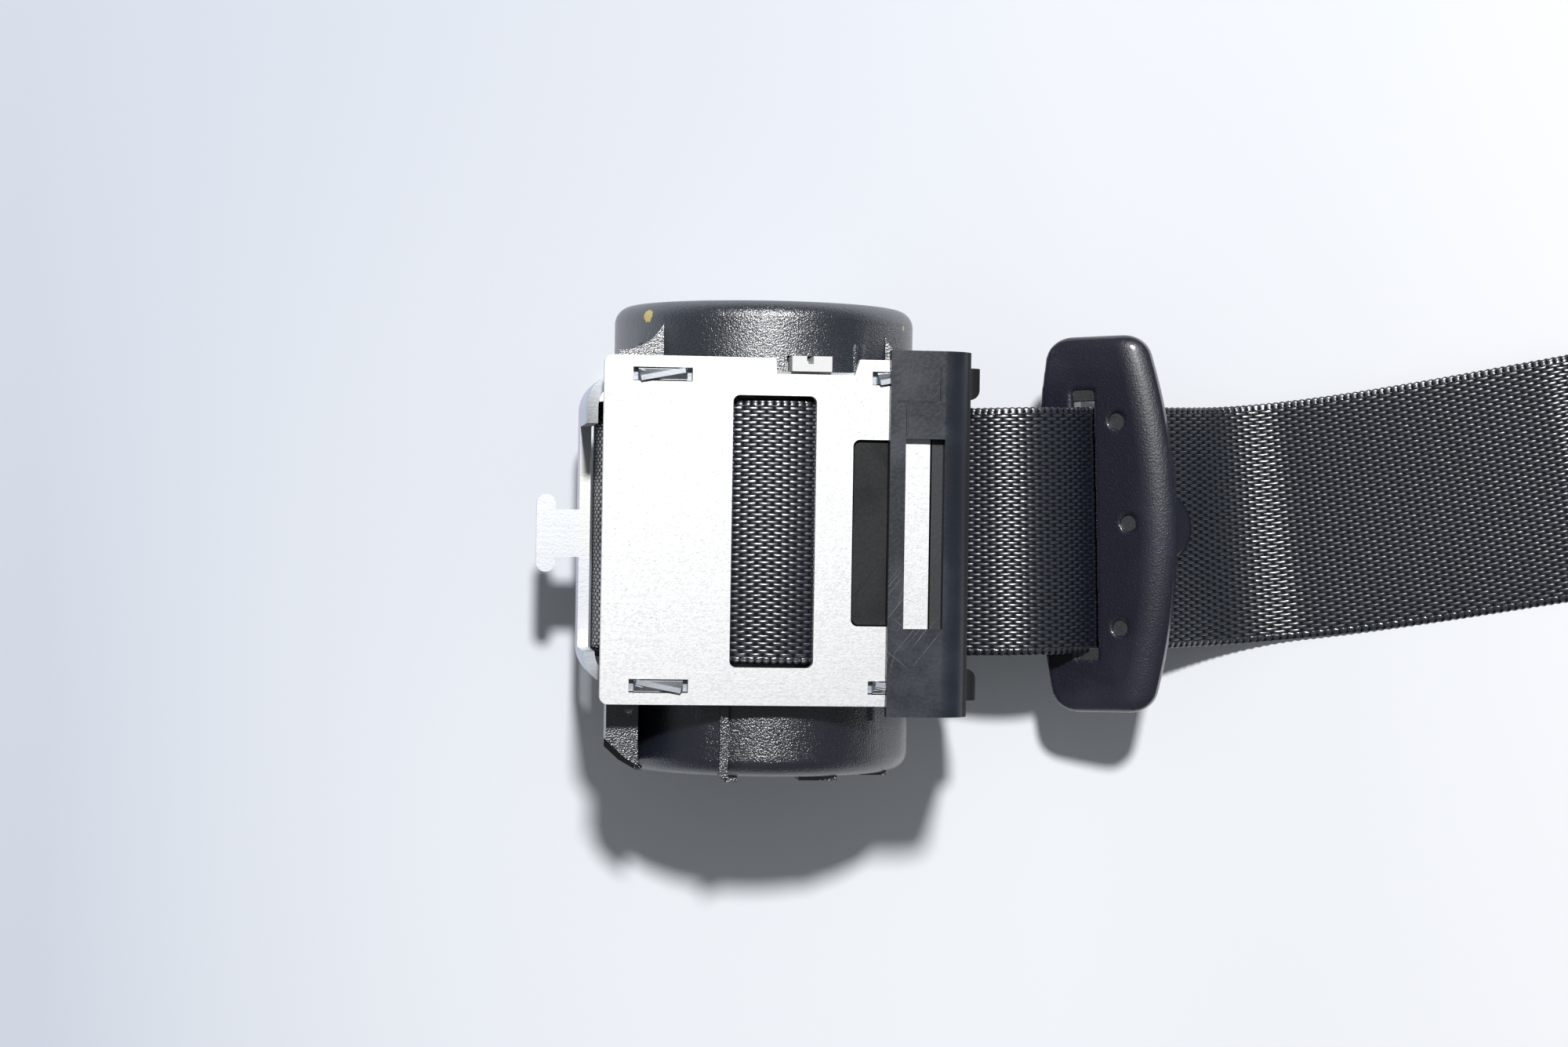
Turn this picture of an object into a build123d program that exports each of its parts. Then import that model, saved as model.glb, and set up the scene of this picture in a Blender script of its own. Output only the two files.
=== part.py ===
"""Emergency-locking seat-belt retractor with its webbing, tongue and stop button.

Drawn about the spool: X runs out along the belt, Y along the spool towards the spring cover, Z up
from the back face of the mounting plate. The finished part's origin is the centre of the mounting
hole on that back face, so every node is shifted by hole_from_spool when it is written.
"""
from build123d import *
from math import acos, atan2, cos, degrees, radians, sin, sqrt, tan
import os

# Webbing
belt_width = 47.0
belt_thick = 1.2
roll_radius = 31.5
belt_gap = 0.3

# Spool axis and mounting
axis_height = roll_radius + 2.0
hole_from_spool = 49.0
bolt_hole_d = 11.8

# Bracket and its two plates, sized from the webbing and its roll
sheet = 2.0
flange_outer = belt_width / 2 + 4.9
wall_outer = roll_radius + sheet + 0.5
bend_outer = 6.5
flange_reach = roll_radius - 2.5
mount_thick = 2.5
mount_half = flange_outer + 1.6
mount_clear = 6.4
mount_span = (-flange_reach, flange_reach + 1.5)
ear_radius = 13.0
tie_thick = 2.0
tie_half = flange_outer + 2.3
tie_left = 2.4 - wall_outer
tie_right = flange_reach - 2.6
tie_underside = axis_height + roll_radius - 0.2
tab_length = 8.6
tab_stand = 0.9
tab_twist = 11.0
slot_play = 0.9
tab_places = (tie_left + 10.3, tie_right - 5.3)
hook_height = axis_height + 0.5
hook_at = -0.9
wall_band = 9.0
hook_stem = 8.8
hook_head = 14.4
hook_head_depth = 3.5
hook_tip = wall_outer + 7.9

# Windows of the tie plate
roll_window = (-8.8, 6.0)
roll_window_half = belt_width / 2 + 0.5
snap_window = (tie_right - 13.75, tie_right - 4.9)
snap_window_half = 16.5
notch_span = (-1.4, 13.9)
notch_depth = 2.8

# Belt guide
guide_left = tie_right - 7.5
guide_half = flange_outer + 4.0
guide_skin = 2.0
guide_shoulder_at = roll_radius + 1.7
guide_shoulder = 5.6
guide_window = (tie_right - 4.7, tie_right + 2.3)
guide_window_half = snap_window_half + 0.3
mouth_at = roll_radius + 3.3
mouth_height = axis_height - 2.1
mouth_gap = 1.6
lip_radius = 2.6
cheek_reach = mouth_at + 5.0
cheek_inner = belt_width / 2 + 1.4
cheek_outer = flange_outer + 2.4
cheek_bottom = mouth_height - 6.4
cheek_top = mouth_height + 12.0
cheek_round = 2.4

# Spool and its load path
hub_radius = 12.0
disc_radius = 24.0
disc_thick = 1.4
journal_radius = 8.0
running = 0.06
bush_wall = 2.0
bar_radius = 4.6
belt_pin_radius = 2.0
belt_pin_orbit = 8.6

# Lock
ratchet_teeth = 16
ratchet_tip = 17.0
ratchet_root = ratchet_tip - 2.6
ratchet_thick = 4.0
wheel_gap = 0.8
spacer_thick = 1.6
stub_radius = 3.0
gear_teeth = 32
gear_tip = ratchet_tip + 0.6
gear_root = gear_tip - 1.8
gear_thick = 4.5
gear_phase = -0.1
pawl_angle = -62.0
pawl_orbit = ratchet_tip + 5.3
pawl_boss = 3.6
pawl_pin_radius = 2.0
pawl_swing = 11.0

# Covers, as wide as the pawl needs
cover_wall = 1.6
cover_radius = pawl_orbit + pawl_boss + cover_wall + 0.35
spring_end = flange_outer + 13.0
lock_end = flange_outer + 15.5
rim_round = 3.2
base_thick = 2.0
lug_span = (1.5, 8.6)
lug_groove = (4.1, 5.3)
lug_play = 0.3
lug_foot = axis_height + 20.0
web_rise = 18.5
web_thick = 1.4
foot_start = sqrt(cover_radius ** 2 - web_rise ** 2)
foot_reach = foot_start + 7.4
foot_thick = 1.8
house_left = cover_radius + 2.85
house_neck = cover_radius - 3.85
house_foot = axis_height - 15.0
house_top = axis_height + 22.5
house_facet = (1.6, 3.4)
house_round = 1.4
rib_span = (-9.75, -8.25)
nub_span = (-8.4, -6.2)
bump_spans = ((5.2, 12.1), (17.5, 22.5))
bump_out = 1.1
cover_pin_radius = 1.8
cover_pin_orbit = cover_radius - 2.45
cover_pin_head = 0.9
pin_play = 0.03
spring_pin_angles = (58, 150, 285)
lock_pin_angles = (48, 118, 262)

# Rewind spring
spring_turns = 9
spring_width = 7.0
spring_strip = 0.35
spring_inner = 5.6
spring_outer = cover_pin_orbit - cover_pin_radius - 1.8

# Crash sensor
ball_radius = 3.2
ball_x = cover_wall + 5.3 - house_left
ball_drop = 6.0
ball_play = 0.3
seat_angle = 36.87
lever_pivot = (ball_x + 3.9, 9.0)
lever_pin_radius = 0.6
sensor_half = 4.9

# Tongue
tongue_tilt = 32.0
tongue_at = mouth_at + 29.8
tongue_shift = 1.0
tongue_length = 72.3
tongue_left = 9.1
tongue_right = 17.2
tongue_below = 2.8
tongue_above = 3.4
tongue_dish = 1.2
blade_thick = 2.8
blade_width = 25.0
blade_tip = 30.0
latch_window = (11.0, 9.0)
slot_width = 4.2
slot_half = belt_width / 2 + 2.4
blade_slot_width = 5.4
passage_play = 0.35
core_pin_radius = 1.5
stop_radius = 6.8
stop_front = 3.0
stop_back = 2.2
stop_stem = 1.4
stop_seat = 0.02
stop_at = tongue_at + 14.7

# The belt's way outside the retractor
belt_shift = 0.45
mouth_turn = (mouth_at + 4.2, mouth_at + 10.2)
run_heading = 2.0
mouth_bend = (mouth_at, mouth_height + 0.2)
mouth_bend_radius = 3.0
nose_radius = mouth_bend_radius - belt_thick / 2 - belt_gap
crest = (mouth_at + 12.7, mouth_height + 1.6)
crest_radius = 14.0
straight_end = mouth_at + 53.2
turn_more = 9.5
turn_length = 62.0
station_pitch = 8.0
lay_points = ((98.0, 9.35), (118.0, 5.6), (138.0, 13.4), (158.0, 25.3))
lay_radii = (40.0, 25.0, 40.0, 25.0)
rise_slope = degrees(atan2(crest[1] - mouth_bend[1], crest[0] - mouth_bend[0]))
run_slope = degrees(atan2(lay_points[0][1] - crest[1], lay_points[0][0] - crest[0]))
hank_start = 172.0
hank_end = 247.0
hank_layers = 5
hank_low = 1.5
hank_pitch = 6.5
band_at = 211.0
band_width = 12.0
band_thick = 0.8

# Anchor plate on the lap end
anchor_thick = 3.0
anchor_width = belt_width + 9.0
anchor_hole_d = 12.0
anchor_bar = 5.4
anchor_bar_at = 262.5
anchor_reach = 34.0
anchor_nose = 15.0
stitched_length = 24.0

# Longer than the part, for cuts that run right through
through = 150.0


def block(x, y, z):
    """Box between two limits on each axis."""
    size = (x[1] - x[0], y[1] - y[0], z[1] - z[0])
    middle = ((x[0] + x[1]) / 2, (y[0] + y[1]) / 2, (z[0] + z[1]) / 2)
    return Pos(*middle) * Box(*size)


def disc(radius, y0, y1, x=0.0, z=axis_height):
    """Solid cylinder about an axis parallel to the spool, between two Y stations."""
    return Pos(x, (y0 + y1) / 2, z) * Rot(90, 0, 0) * Cylinder(radius, abs(y1 - y0))


def on_axis(sketch, y0, y1):
    """Extrudes a sketch drawn in X and Z about the spool axis from y0 to y1."""
    face = Plane(origin=(0, y0, axis_height), x_dir=(1, 0, 0), z_dir=(0, 1, 0)) * mirror(sketch, Plane.XZ)
    return extrude(face, amount=y1 - y0, dir=(0, 1, 0))


def polar(radius, angle):
    return radius * cos(radians(angle)), radius * sin(radians(angle))


def plate(outline, z0, thick):
    return extrude(Pos(0, 0, z0) * outline, amount=thick)


def slot_box(x, half, z):
    return block(x, (-half, half), z)


# Bracket, tie plate and mounting plate


def twisted_tab(x, side):
    """Tab of the bracket that stands through the tie plate and is twisted over it."""
    y = side * (flange_outer - sheet / 2)
    low = block((x - tab_length / 2, x + tab_length / 2), (y - sheet / 2, y + sheet / 2),
                (tie_underside - 1, tie_underside + tie_thick))
    steps = 4
    sections = []
    for k in range(steps + 1):
        turned = side * tab_twist * k / steps
        z = tie_underside + tie_thick + tab_stand * k / steps
        share = k / steps
        outline = Rectangle(tab_length * (1 - 0.08 * share), sheet * (0.85 - 0.4 * share))
        sections.append(Pos(x, y, z) * Rot(0, 0, turned) * outline)
    return low + loft(sections, ruled=True)


def frame_bracket():
    """U-shaped bracket in plan, with the locating hook bent out of its end wall."""
    height = tie_underside - mount_thick
    far = 3 * bend_outer
    outer = RectangleRounded(flange_reach + far + wall_outer, 2 * flange_outer, bend_outer)
    inner = RectangleRounded(flange_reach + far + wall_outer - 2 * sheet, 2 * (flange_outer - sheet),
                             bend_outer - sheet)
    middle = (flange_reach + far - wall_outer) / 2
    shell = plate(Pos(middle, 0) * (outer - inner), mount_thick, height)
    shell -= block((flange_reach, through), (-through, through), (0, through))
    wall = (-wall_outer - 1, -wall_outer + bend_outer)
    shell -= block(wall, (-flange_outer + bend_outer, flange_outer - bend_outer - 3), (hook_height, through))
    shell -= block((wall[0], wall[1] - 2.5), (-through, through), (hook_height + 22, through))
    shell -= block(wall, (-through, through), (0, hook_height - wall_band))
    for side in (-1, 1):
        y = side * (flange_outer - sheet / 2)
        shell -= disc(journal_radius + bush_wall, y - sheet, y + sheet)
        slope = Polyline((flange_reach + 1, tie_underside + 1), (flange_reach - 5, tie_underside + 1),
                         (flange_reach + 1, tie_underside - 22), close=True)
        nose = Plane(origin=(0, y - sheet, 0), x_dir=(1, 0, 0), z_dir=(0, -1, 0)) * make_face(slope)
        shell -= extrude(nose, amount=-2 * sheet)
        for x in tab_places:
            shell += twisted_tab(x, side)
            shell += block((x - tab_length / 2, x + tab_length / 2), (y - sheet / 2, y + sheet / 2),
                           (0, mount_thick + 0.5))
        for x, z in cover_pin_places(side):
            shell -= disc(cover_pin_radius, y - sheet, y + sheet, x, z)
    px, pz = pawl_place()
    shell -= disc(pawl_pin_radius + pin_play, -flange_outer - 1, -flange_outer + sheet + 1, px, pz)
    stem = (hook_at - hook_stem / 2, hook_at + hook_stem / 2)
    shell += block((-hook_tip, -wall_outer + sheet), stem, (hook_height - sheet, hook_height))
    head = RectangleRounded(hook_head_depth, hook_head, hook_head_depth / 2 - 0.05)
    shell += plate(Pos(-hook_tip + hook_head_depth / 2, hook_at) * head, hook_height - sheet, sheet)
    return shell


def cover_pin_places(side):
    """Three holes round the spool for the push pins of a cover, clear of the sensor and the pawl."""
    angles = spring_pin_angles if side > 0 else lock_pin_angles
    return [(polar(cover_pin_orbit, a)[0], axis_height + polar(cover_pin_orbit, a)[1]) for a in angles]


def tie_plate():
    """Flat plate with the roll window, the snap window, the lug notch and four tab slots."""
    outline = Pos((tie_left + tie_right) / 2, 0) * RectangleRounded(tie_right - tie_left, 2 * tie_half, 1.4)
    deep = tie_half - notch_depth
    left, right = notch_span
    notch = Polyline((left, tie_half + 1), (left + 0.3, deep), (right - 1.2, deep), (right, tie_half + 1),
                     close=True)
    outline -= make_face(notch)
    windows = ((roll_window, roll_window_half), (snap_window, snap_window_half))
    for span, half in windows:
        outline -= Pos((span[0] + span[1]) / 2, 0) * RectangleRounded(span[1] - span[0], 2 * half, 1.2)
    for side in (-1, 1):
        for x in tab_places:
            y = side * (flange_outer - sheet / 2)
            outline -= Pos(x, y) * Rectangle(tab_length + 2 * slot_play, sheet + 0.4)
    return plate(outline, tie_underside, tie_thick)


def mounting_plate():
    """Back plate with a window under the roll and an ear for the bolt, under the belt."""
    left, right = mount_span
    body = Pos((left + right) / 2, 0) * RectangleRounded(right - left, 2 * mount_half, 3)
    tip = Pos(hole_from_spool, 0) * Circle(ear_radius)
    ear = make_hull(tip.edges() + (Pos(flange_reach - 9, 0) * Rectangle(10, belt_width - 1)).edges())
    sunk = sqrt(roll_radius ** 2 - (axis_height - mount_thick) ** 2)
    outline = body + ear - RectangleRounded(2 * (sunk + mount_clear), belt_width + 3, 3)
    outline -= Pos(hole_from_spool, 0) * Circle(bolt_hole_d / 2)
    for side in (-1, 1):
        for x in tab_places:
            outline -= Pos(x, side * (flange_outer - sheet / 2)) * Rectangle(tab_length, sheet)
    return plate(outline, 0, mount_thick)


# Belt guide


def roll_tangent():
    """Point where the belt leaves the roll, and the slope of its run down to the mouth."""
    reach = roll_radius + belt_gap + belt_thick / 2
    dx, dz = mouth_bend[0], mouth_bend[1] - axis_height
    span = sqrt(dx * dx + dz * dz)
    angle = atan2(dz, dx) + acos(reach / span)
    return reach * cos(angle), axis_height + reach * sin(angle), degrees(angle) - 90


def nose_centre():
    """Centre of the rounded nose that the belt bends round as it leaves the guide."""
    first, last = radians(roll_tangent()[2] + 90), radians(rise_slope + 90)
    share = mouth_bend_radius / (1 + cos(first - last))
    x = mouth_bend[0] + share * (cos(first) + cos(last))
    return x, mouth_bend[1] + share * (sin(first) + sin(last))


def belt_guide():
    """Moulded guide hooked over the tie plate's edge, with cheeks and a lip round the belt's mouth."""
    top = tie_underside + tie_thick + guide_skin + 0.1
    skin_under = tie_underside + tie_thick + 0.1
    flap_top = tie_underside - 0.1
    flap_low = flap_top - 1.5
    bead_x, bead_z = nose_centre()
    neck = flange_reach + 1.4
    outer = Polyline((guide_left, skin_under), (guide_left, top), (guide_shoulder_at, top),
                     (bead_x + nose_radius, bead_z), (bead_x + nose_radius - guide_skin, bead_z),
                     (guide_shoulder_at - 0.2, flap_low - 5.3), (neck, flap_low - 0.8),
                     (neck, flap_low), (snap_window[0] + 0.3, flap_low), (snap_window[0] + 0.3, flap_top),
                     (tie_right + 0.3, flap_top), (tie_right + 0.3, skin_under), close=True)
    profile = make_face(outer)
    corner = profile.vertices().filter_by(lambda v: v.X > guide_shoulder_at - 0.1 and v.Y > top - 0.1)
    profile = fillet(corner, guide_shoulder)
    end = Plane(origin=(0, guide_half, 0), x_dir=(1, 0, 0), z_dir=(0, -1, 0))
    solid = extrude(end * profile, amount=2 * guide_half)
    solid += disc(nose_radius, -guide_half, guide_half, bead_x, bead_z)
    inner_half = flange_outer - sheet - 0.4
    for side in (-1, 1):
        trim = sorted((side * inner_half, side * (guide_half + 1)))
        solid -= block((guide_left - 8, flange_reach + 0.2), trim, (flap_low - 1, flap_top + 0.05))
        gap = sorted((side * (flange_outer - sheet - 0.3), side * (flange_outer + 0.3)))
        solid -= block((guide_left - 8, flange_reach + 0.3), gap, (mouth_height, flap_top + 0.05))
    solid -= slot_box(guide_window, guide_window_half, (skin_under - 0.2, top + 1))
    pad = RectangleRounded(snap_window[1] - snap_window[0] - 0.6, 2 * snap_window_half - 0.6, 1.2)
    solid += plate(Pos((snap_window[0] + snap_window[1]) / 2, 0) * pad, flap_top - 0.5, 1.5)
    for side in (-1, 1):
        pocket = sorted((side * (flange_outer - sheet - 1), side * (flange_outer + 1)))
        x = tab_places[1]
        solid -= block((x - tab_length / 2 - 0.8, x + tab_length / 2 + 0.8), pocket,
                       (skin_under - 0.1, skin_under + tab_stand + 0.25))
    for side in (-1, 1):
        span = sorted((side * cheek_inner, side * cheek_outer))
        cheek = block((foot_reach + 1.4, cheek_reach), span, (cheek_bottom, cheek_top))
        front = cheek.edges().filter_by(Axis.Y).sort_by(Axis.X)[-2:]
        inner = cheek.edges().filter_by(Axis.Z).sort_by(Axis.X)[-2:].sort_by(lambda e: abs(e.center().Y))[0]
        solid += fillet(front + [inner], cheek_round)
    lip = disc(lip_radius, -cheek_outer, cheek_outer, mouth_at, mouth_height - mouth_gap - lip_radius)
    return solid + lip


# Spool and what turns with it


def spool():
    inner = flange_outer - sheet
    side_face = belt_width / 2 + 0.2
    body = disc(hub_radius, -side_face, side_face)
    for side in (-1, 1):
        body += disc(disc_radius, side * side_face, side * (side_face + disc_thick))
        body += disc(journal_radius, side * side_face, side * (flange_outer + 0.4))
    body -= disc(bar_radius + 0.05, -through, side_face - 6)
    body -= disc(belt_pin_radius + 0.05, -side_face, side_face, belt_pin_orbit)
    body -= block((belt_pin_orbit - 0.7, belt_pin_orbit + 0.7), (-side_face + 0.1, side_face - 0.1),
                  (axis_height, axis_height + hub_radius + 2))
    drive = on_axis(RectangleRounded(7.6, 7.6, 0.6), flange_outer + 0.4, flange_outer + 10)
    return body + drive


def ratchet_back():
    """Y of the ratchet's face beside the bracket."""
    return -flange_outer - wheel_gap


def torsion_bar():
    body = disc(bar_radius, ratchet_back(), belt_width / 2 - 5.9)
    drive = on_axis(RegularPolygon(bar_radius - 0.2, 6), ratchet_back() - ratchet_thick, ratchet_back())
    return body + drive


def belt_roll():
    return disc(roll_radius, -belt_width / 2, belt_width / 2) - disc(hub_radius, -through, through)


def belt_end_pin():
    return disc(belt_pin_radius, -belt_width / 2, belt_width / 2, belt_pin_orbit)


def spool_bushes():
    """Two plastic rings in the side plates that the spool's journals run in."""
    rings = []
    for side in (-1, 1):
        inner = flange_outer - sheet
        ring = disc(journal_radius + bush_wall, side * inner, side * flange_outer)
        ring += disc(journal_radius + bush_wall + 1.4, side * (inner - 0.5), side * inner)
        rings.append(ring - disc(journal_radius + running, -through, through))
    return rings[0] + rings[1]


def saw_wheel(teeth, tip, root, phase=0.0):
    """Outline with saw teeth whose steep faces meet a pawl as the belt pulls out."""
    points = []
    pitch = 360 / teeth
    for k in range(teeth):
        start = phase + k * pitch
        points.append(polar(root, start))
        points.append(polar(tip, start + 0.1 * pitch))
        points.append(polar(tip, start + 0.22 * pitch))
    return make_face(Polyline(*points, close=True))


def ratchet_wheel():
    y1 = ratchet_back()
    y0 = y1 - ratchet_thick
    outline = saw_wheel(ratchet_teeth, ratchet_tip, ratchet_root) - RegularPolygon(bar_radius - 0.2, 6)
    wheel = on_axis(outline, y0, y1)
    end = y0 - spacer_thick
    wheel += disc(8, end, y0)
    wheel += disc(stub_radius, -lock_end + cover_wall + 1.0, end)
    return wheel


def lock_gear():
    """Toothed inertia wheel on the ratchet's stub."""
    y1 = ratchet_back() - ratchet_thick - spacer_thick - 0.1
    y0 = y1 - gear_thick
    outline = saw_wheel(gear_teeth, gear_tip, gear_root, gear_phase) - Circle(stub_radius + running)
    wheel = on_axis(outline, y0, y1)
    ring = on_axis(Circle(gear_root - 2.2) - Circle(6.5), y0 - 1, y0 + 2.2)
    return wheel - ring


def half_circle_spiral(turns, inner, outer):
    """Flat spiral made of half circles whose centres alternate across the axis."""
    step = (outer - inner) / (2 * turns)
    edges = []
    radius = inner
    x = inner
    for k in range(2 * turns):
        way = 1 if k % 2 == 0 else -1
        centre = x - way * radius
        edges.append(CenterArc((centre, 0), radius, 0 if way > 0 else 180, 180))
        x = centre - way * radius
        radius += step
    return Wire(edges)


def spring_arbor():
    y0 = flange_outer + base_thick + 0.4
    outline = Circle(spring_inner - 0.4) - RectangleRounded(7.7, 7.7, 0.6)
    return on_axis(outline, y0, y0 + spring_width + 0.6)


def main_spring():
    """Flat rewind spring from the arbor out to the cover's wall."""
    y0 = flange_outer + base_thick + 0.7
    path = half_circle_spiral(spring_turns, spring_inner, spring_outer)
    band = offset(path, amount=spring_strip, side=Side.LEFT)
    return on_axis(make_face(band), y0, y0 + spring_width)


# Covers


def spring_base():
    """White plate behind the spring cover, with the lug that stands in the tie plate's notch."""
    y0 = flange_outer
    body = disc(cover_radius - cover_wall - 0.1, y0, y0 + base_thick)
    body -= disc(journal_radius + 1.2, y0 - 1, y0 + 3)
    top = tie_underside + tie_thick + 0.2
    face = tie_half - notch_depth + 0.1
    lug = block(lug_span, (face, tie_half + 0.4), (lug_foot, top))
    lug = fillet(lug.edges().filter_by(Axis.Z).sort_by(Axis.Y)[:2], 0.7)
    lug -= block(lug_groove, (tie_half - 1, tie_half + 1), (top - 8, top + 1))
    lug -= block(lug_span, (0, flange_outer), (0, through))
    for x, z in cover_pin_places(1):
        body -= disc(cover_pin_radius + 1.2, y0 - 1, y0 + 3, x, z)
    return body + lug


def cup(y0, y1, side):
    """Round cup open towards the bracket, with a rounded rim at its closed end."""
    body = disc(cover_radius, side * y0, side * y1)
    rim = body.edges().filter_by(GeomType.CIRCLE).sort_by(Axis.Y)
    body = fillet(rim[-1] if side > 0 else rim[0], rim_round)
    return body - disc(cover_radius - cover_wall, side * (y0 - 1), side * (y1 - cover_wall))


def cover_feet(side):
    """Round lands inside a cover that take its push pins."""
    feet = []
    depth = flange_outer + 5.5
    for x, z in cover_pin_places(side):
        foot = disc(cover_pin_radius + 1.1, side * flange_outer, side * depth, x, z)
        feet.append(foot)
    return feet


def pin_holes(side):
    return [disc(cover_pin_radius, side * (flange_outer - 1), side * (flange_outer + 4.5), x, z)
            for x, z in cover_pin_places(side)]


def spring_cover():
    body = cup(flange_outer, spring_end, 1)
    lug_room = (lug_span[0] - lug_play, lug_span[1] + lug_play)
    body -= block(lug_room, (0, tie_half + 0.4 + lug_play), (lug_foot - 2, through))
    for side, high, low in ((-1, 9.2, 4.0), (1, 7.9, 2.6)):
        span = sorted((side * foot_start, side * foot_reach))
        body += block(span, (flange_outer, flange_outer + foot_thick), (axis_height + 8, tie_underside - 1.5))
        near, far = side * (foot_start - 0.8), side * (foot_reach - (0 if side < 0 else 1.4))
        start, end = (near, flange_outer + high), (far, flange_outer + low)
        hollow = ThreePointArc(start, ((2 * near + far) / 3, flange_outer + (high + 2 * low) / 3), end)
        sides = Polyline(end, (far, flange_outer), (near, flange_outer), start)
        web = make_face(Wire(hollow.edges() + sides.edges()))
        body += plate(web, axis_height + web_rise - web_thick / 2, web_thick)
    body -= disc(cover_radius - cover_wall, flange_outer - 1, flange_outer + 3)
    for foot in cover_feet(1):
        body += foot
    for hole in pin_holes(1):
        body -= hole
    return body


def lock_cover():
    """Cup over the lock with a faceted house for the crash sensor, a rib and two end bumps."""
    body = cup(flange_outer, lock_end, -1)
    deep = -cover_radius / 2
    meet = axis_height + sqrt(cover_radius ** 2 - house_neck ** 2) - 0.5
    shoulder = Polyline((-house_left, house_foot + 2), (-house_left + 2, house_foot), (deep, house_foot),
                        (deep, axis_height), (-house_neck, meet), (-house_neck, house_top),
                        (-house_left + 2.9, house_top), (-house_left, house_top - 4), close=True)
    facing = Plane(origin=(0, -flange_outer, 0), x_dir=(1, 0, 0), z_dir=(0, -1, 0))
    house = extrude(facing * make_face(shoulder), amount=lock_end - flange_outer)
    fx, fy = house_facet
    corner = Polyline((-house_left - fx, -lock_end + 2 * fy), (-house_left + 2 * fx, -lock_end - fy),
                      (-house_left - fx, -lock_end - fy), close=True)
    house -= extrude(make_face(corner), amount=through)
    ends = house.faces().sort_by(Axis.Y)[0].edges().filter_by(lambda e: e.center().Z > meet - 6)
    body += fillet(ends.filter_by(lambda e: e.center().X < -house_neck + 0.1), house_round)
    crown = axis_height + cover_radius
    body += block(rib_span, (-lock_end, -flange_outer), (axis_height, crown - 0.1))
    body += block(nub_span, (-lock_end - bump_out, -lock_end + 4), (axis_height, crown - rim_round - 0.8))
    for x0, x1 in bump_spans:
        rise = sqrt(cover_radius ** 2 - x1 ** 2) - rim_round
        body += block((x0, x1), (-lock_end - bump_out * rise / cover_radius, -lock_end + 4),
                      (axis_height, axis_height + rise))
    inner = -lock_end + cover_wall
    body -= disc(cover_radius - cover_wall, -flange_outer + 1, inner)
    body -= block((-house_left + cover_wall, deep), (inner, -flange_outer + 1),
                  (axis_height - ball_drop - 5.4, axis_height + lever_pivot[1] + 2.5))
    body += disc(stub_radius + 2.4, inner, inner + 2.2)
    body -= disc(stub_radius + running, inner + 0.2, inner + 3)
    for foot in cover_feet(-1):
        body += foot
    for hole in pin_holes(-1):
        body -= hole
    return body


def cover_pins(side):
    """Push pins whose heads sit inside the bracket and whose shanks grip the cover's feet."""
    inner = flange_outer - sheet
    pins = Part()
    for x, z in cover_pin_places(side):
        pins += disc(cover_pin_radius + 1.1, side * (inner - cover_pin_head), side * inner, x, z)
        pins += disc(cover_pin_radius - pin_play, side * inner, side * (flange_outer + 4.3), x, z)
    return pins


# Pawl


def pawl_place():
    x, z = polar(pawl_orbit, pawl_angle)
    return x, axis_height + z


def pawl_pin():
    x, z = pawl_place()
    return disc(pawl_pin_radius, -flange_outer + sheet, ratchet_back() - ratchet_thick - 1, x, z)


def locking_pawl():
    """Pawl drawn with its tip against a tooth, then swung out to where it rests."""
    tip, back, belly = ratchet_root + 0.7, pawl_orbit + 2.3, ratchet_tip + 0.3
    arm = Polyline(polar(tip, -23.8), polar(ratchet_tip + 0.7, -22), polar(ratchet_tip + 3.6, -25),
                   polar(back, -50), polar(back + 0.6, -60), polar(pawl_orbit - 3.1, pawl_angle),
                   polar(belly + 0.6, -45), polar(belly, -36), close=True)
    pin = polar(pawl_orbit, pawl_angle)
    outline = make_face(arm) + Pos(*pin) * Circle(pawl_boss)
    outline -= Pos(*pin) * Circle(pawl_pin_radius + running)
    outline = Pos(*pin) * Rot(0, 0, -pawl_swing) * Pos(-pin[0], -pin[1]) * outline
    return on_axis(outline, ratchet_back() - ratchet_thick, ratchet_back())


# Crash sensor


def sensor_y():
    return ratchet_back() - ratchet_thick - spacer_thick - 0.1 - gear_thick / 2


def sensor_housing():
    """Block with the ball's conical seat and two cheeks that hold the lever's pin."""
    y = sensor_y()
    left, open_at = ball_x - 5.1, ball_x - 0.6
    z = axis_height - ball_drop
    body = block((left, open_at), (y - sensor_half, y + sensor_half), (z - 5.2, z + 5.2))
    apex = ball_x - (ball_radius + ball_play) / sin(radians(seat_angle))
    mouth = (open_at - apex) * tan(radians(seat_angle))
    cone = Pos((apex + open_at) / 2, y, z) * Rot(0, 90, 0) * Cone(0.01, mouth, open_at - apex)
    body -= cone & block((left + 1.2, open_at + 1), (y - 9, y + 9), (z - 9, z + 9))
    px, pz = lever_pivot
    for side in (-1, 1):
        face = sorted((y + side * sensor_half, y + side * (sensor_half - 1)))
        body += block((left, left + 4), face, (z, axis_height + pz + 2.2))
        body += block((left, px + 1.3), face, (axis_height + pz - 1.8, axis_height + pz + 2.2))
        body -= disc(lever_pin_radius, face[0], face[1], px, axis_height + pz)
    body += block((left, left + 1.2), (y - sensor_half, y + sensor_half), (z, axis_height + pz + 2.2))
    return body


def sensor_ball():
    return Pos(ball_x, sensor_y(), axis_height - ball_drop) * Sphere(ball_radius)


def sensor_lever_pin():
    px, pz = lever_pivot
    y = sensor_y()
    return disc(lever_pin_radius, y - sensor_half, y + sensor_half, px, axis_height + pz)


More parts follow.
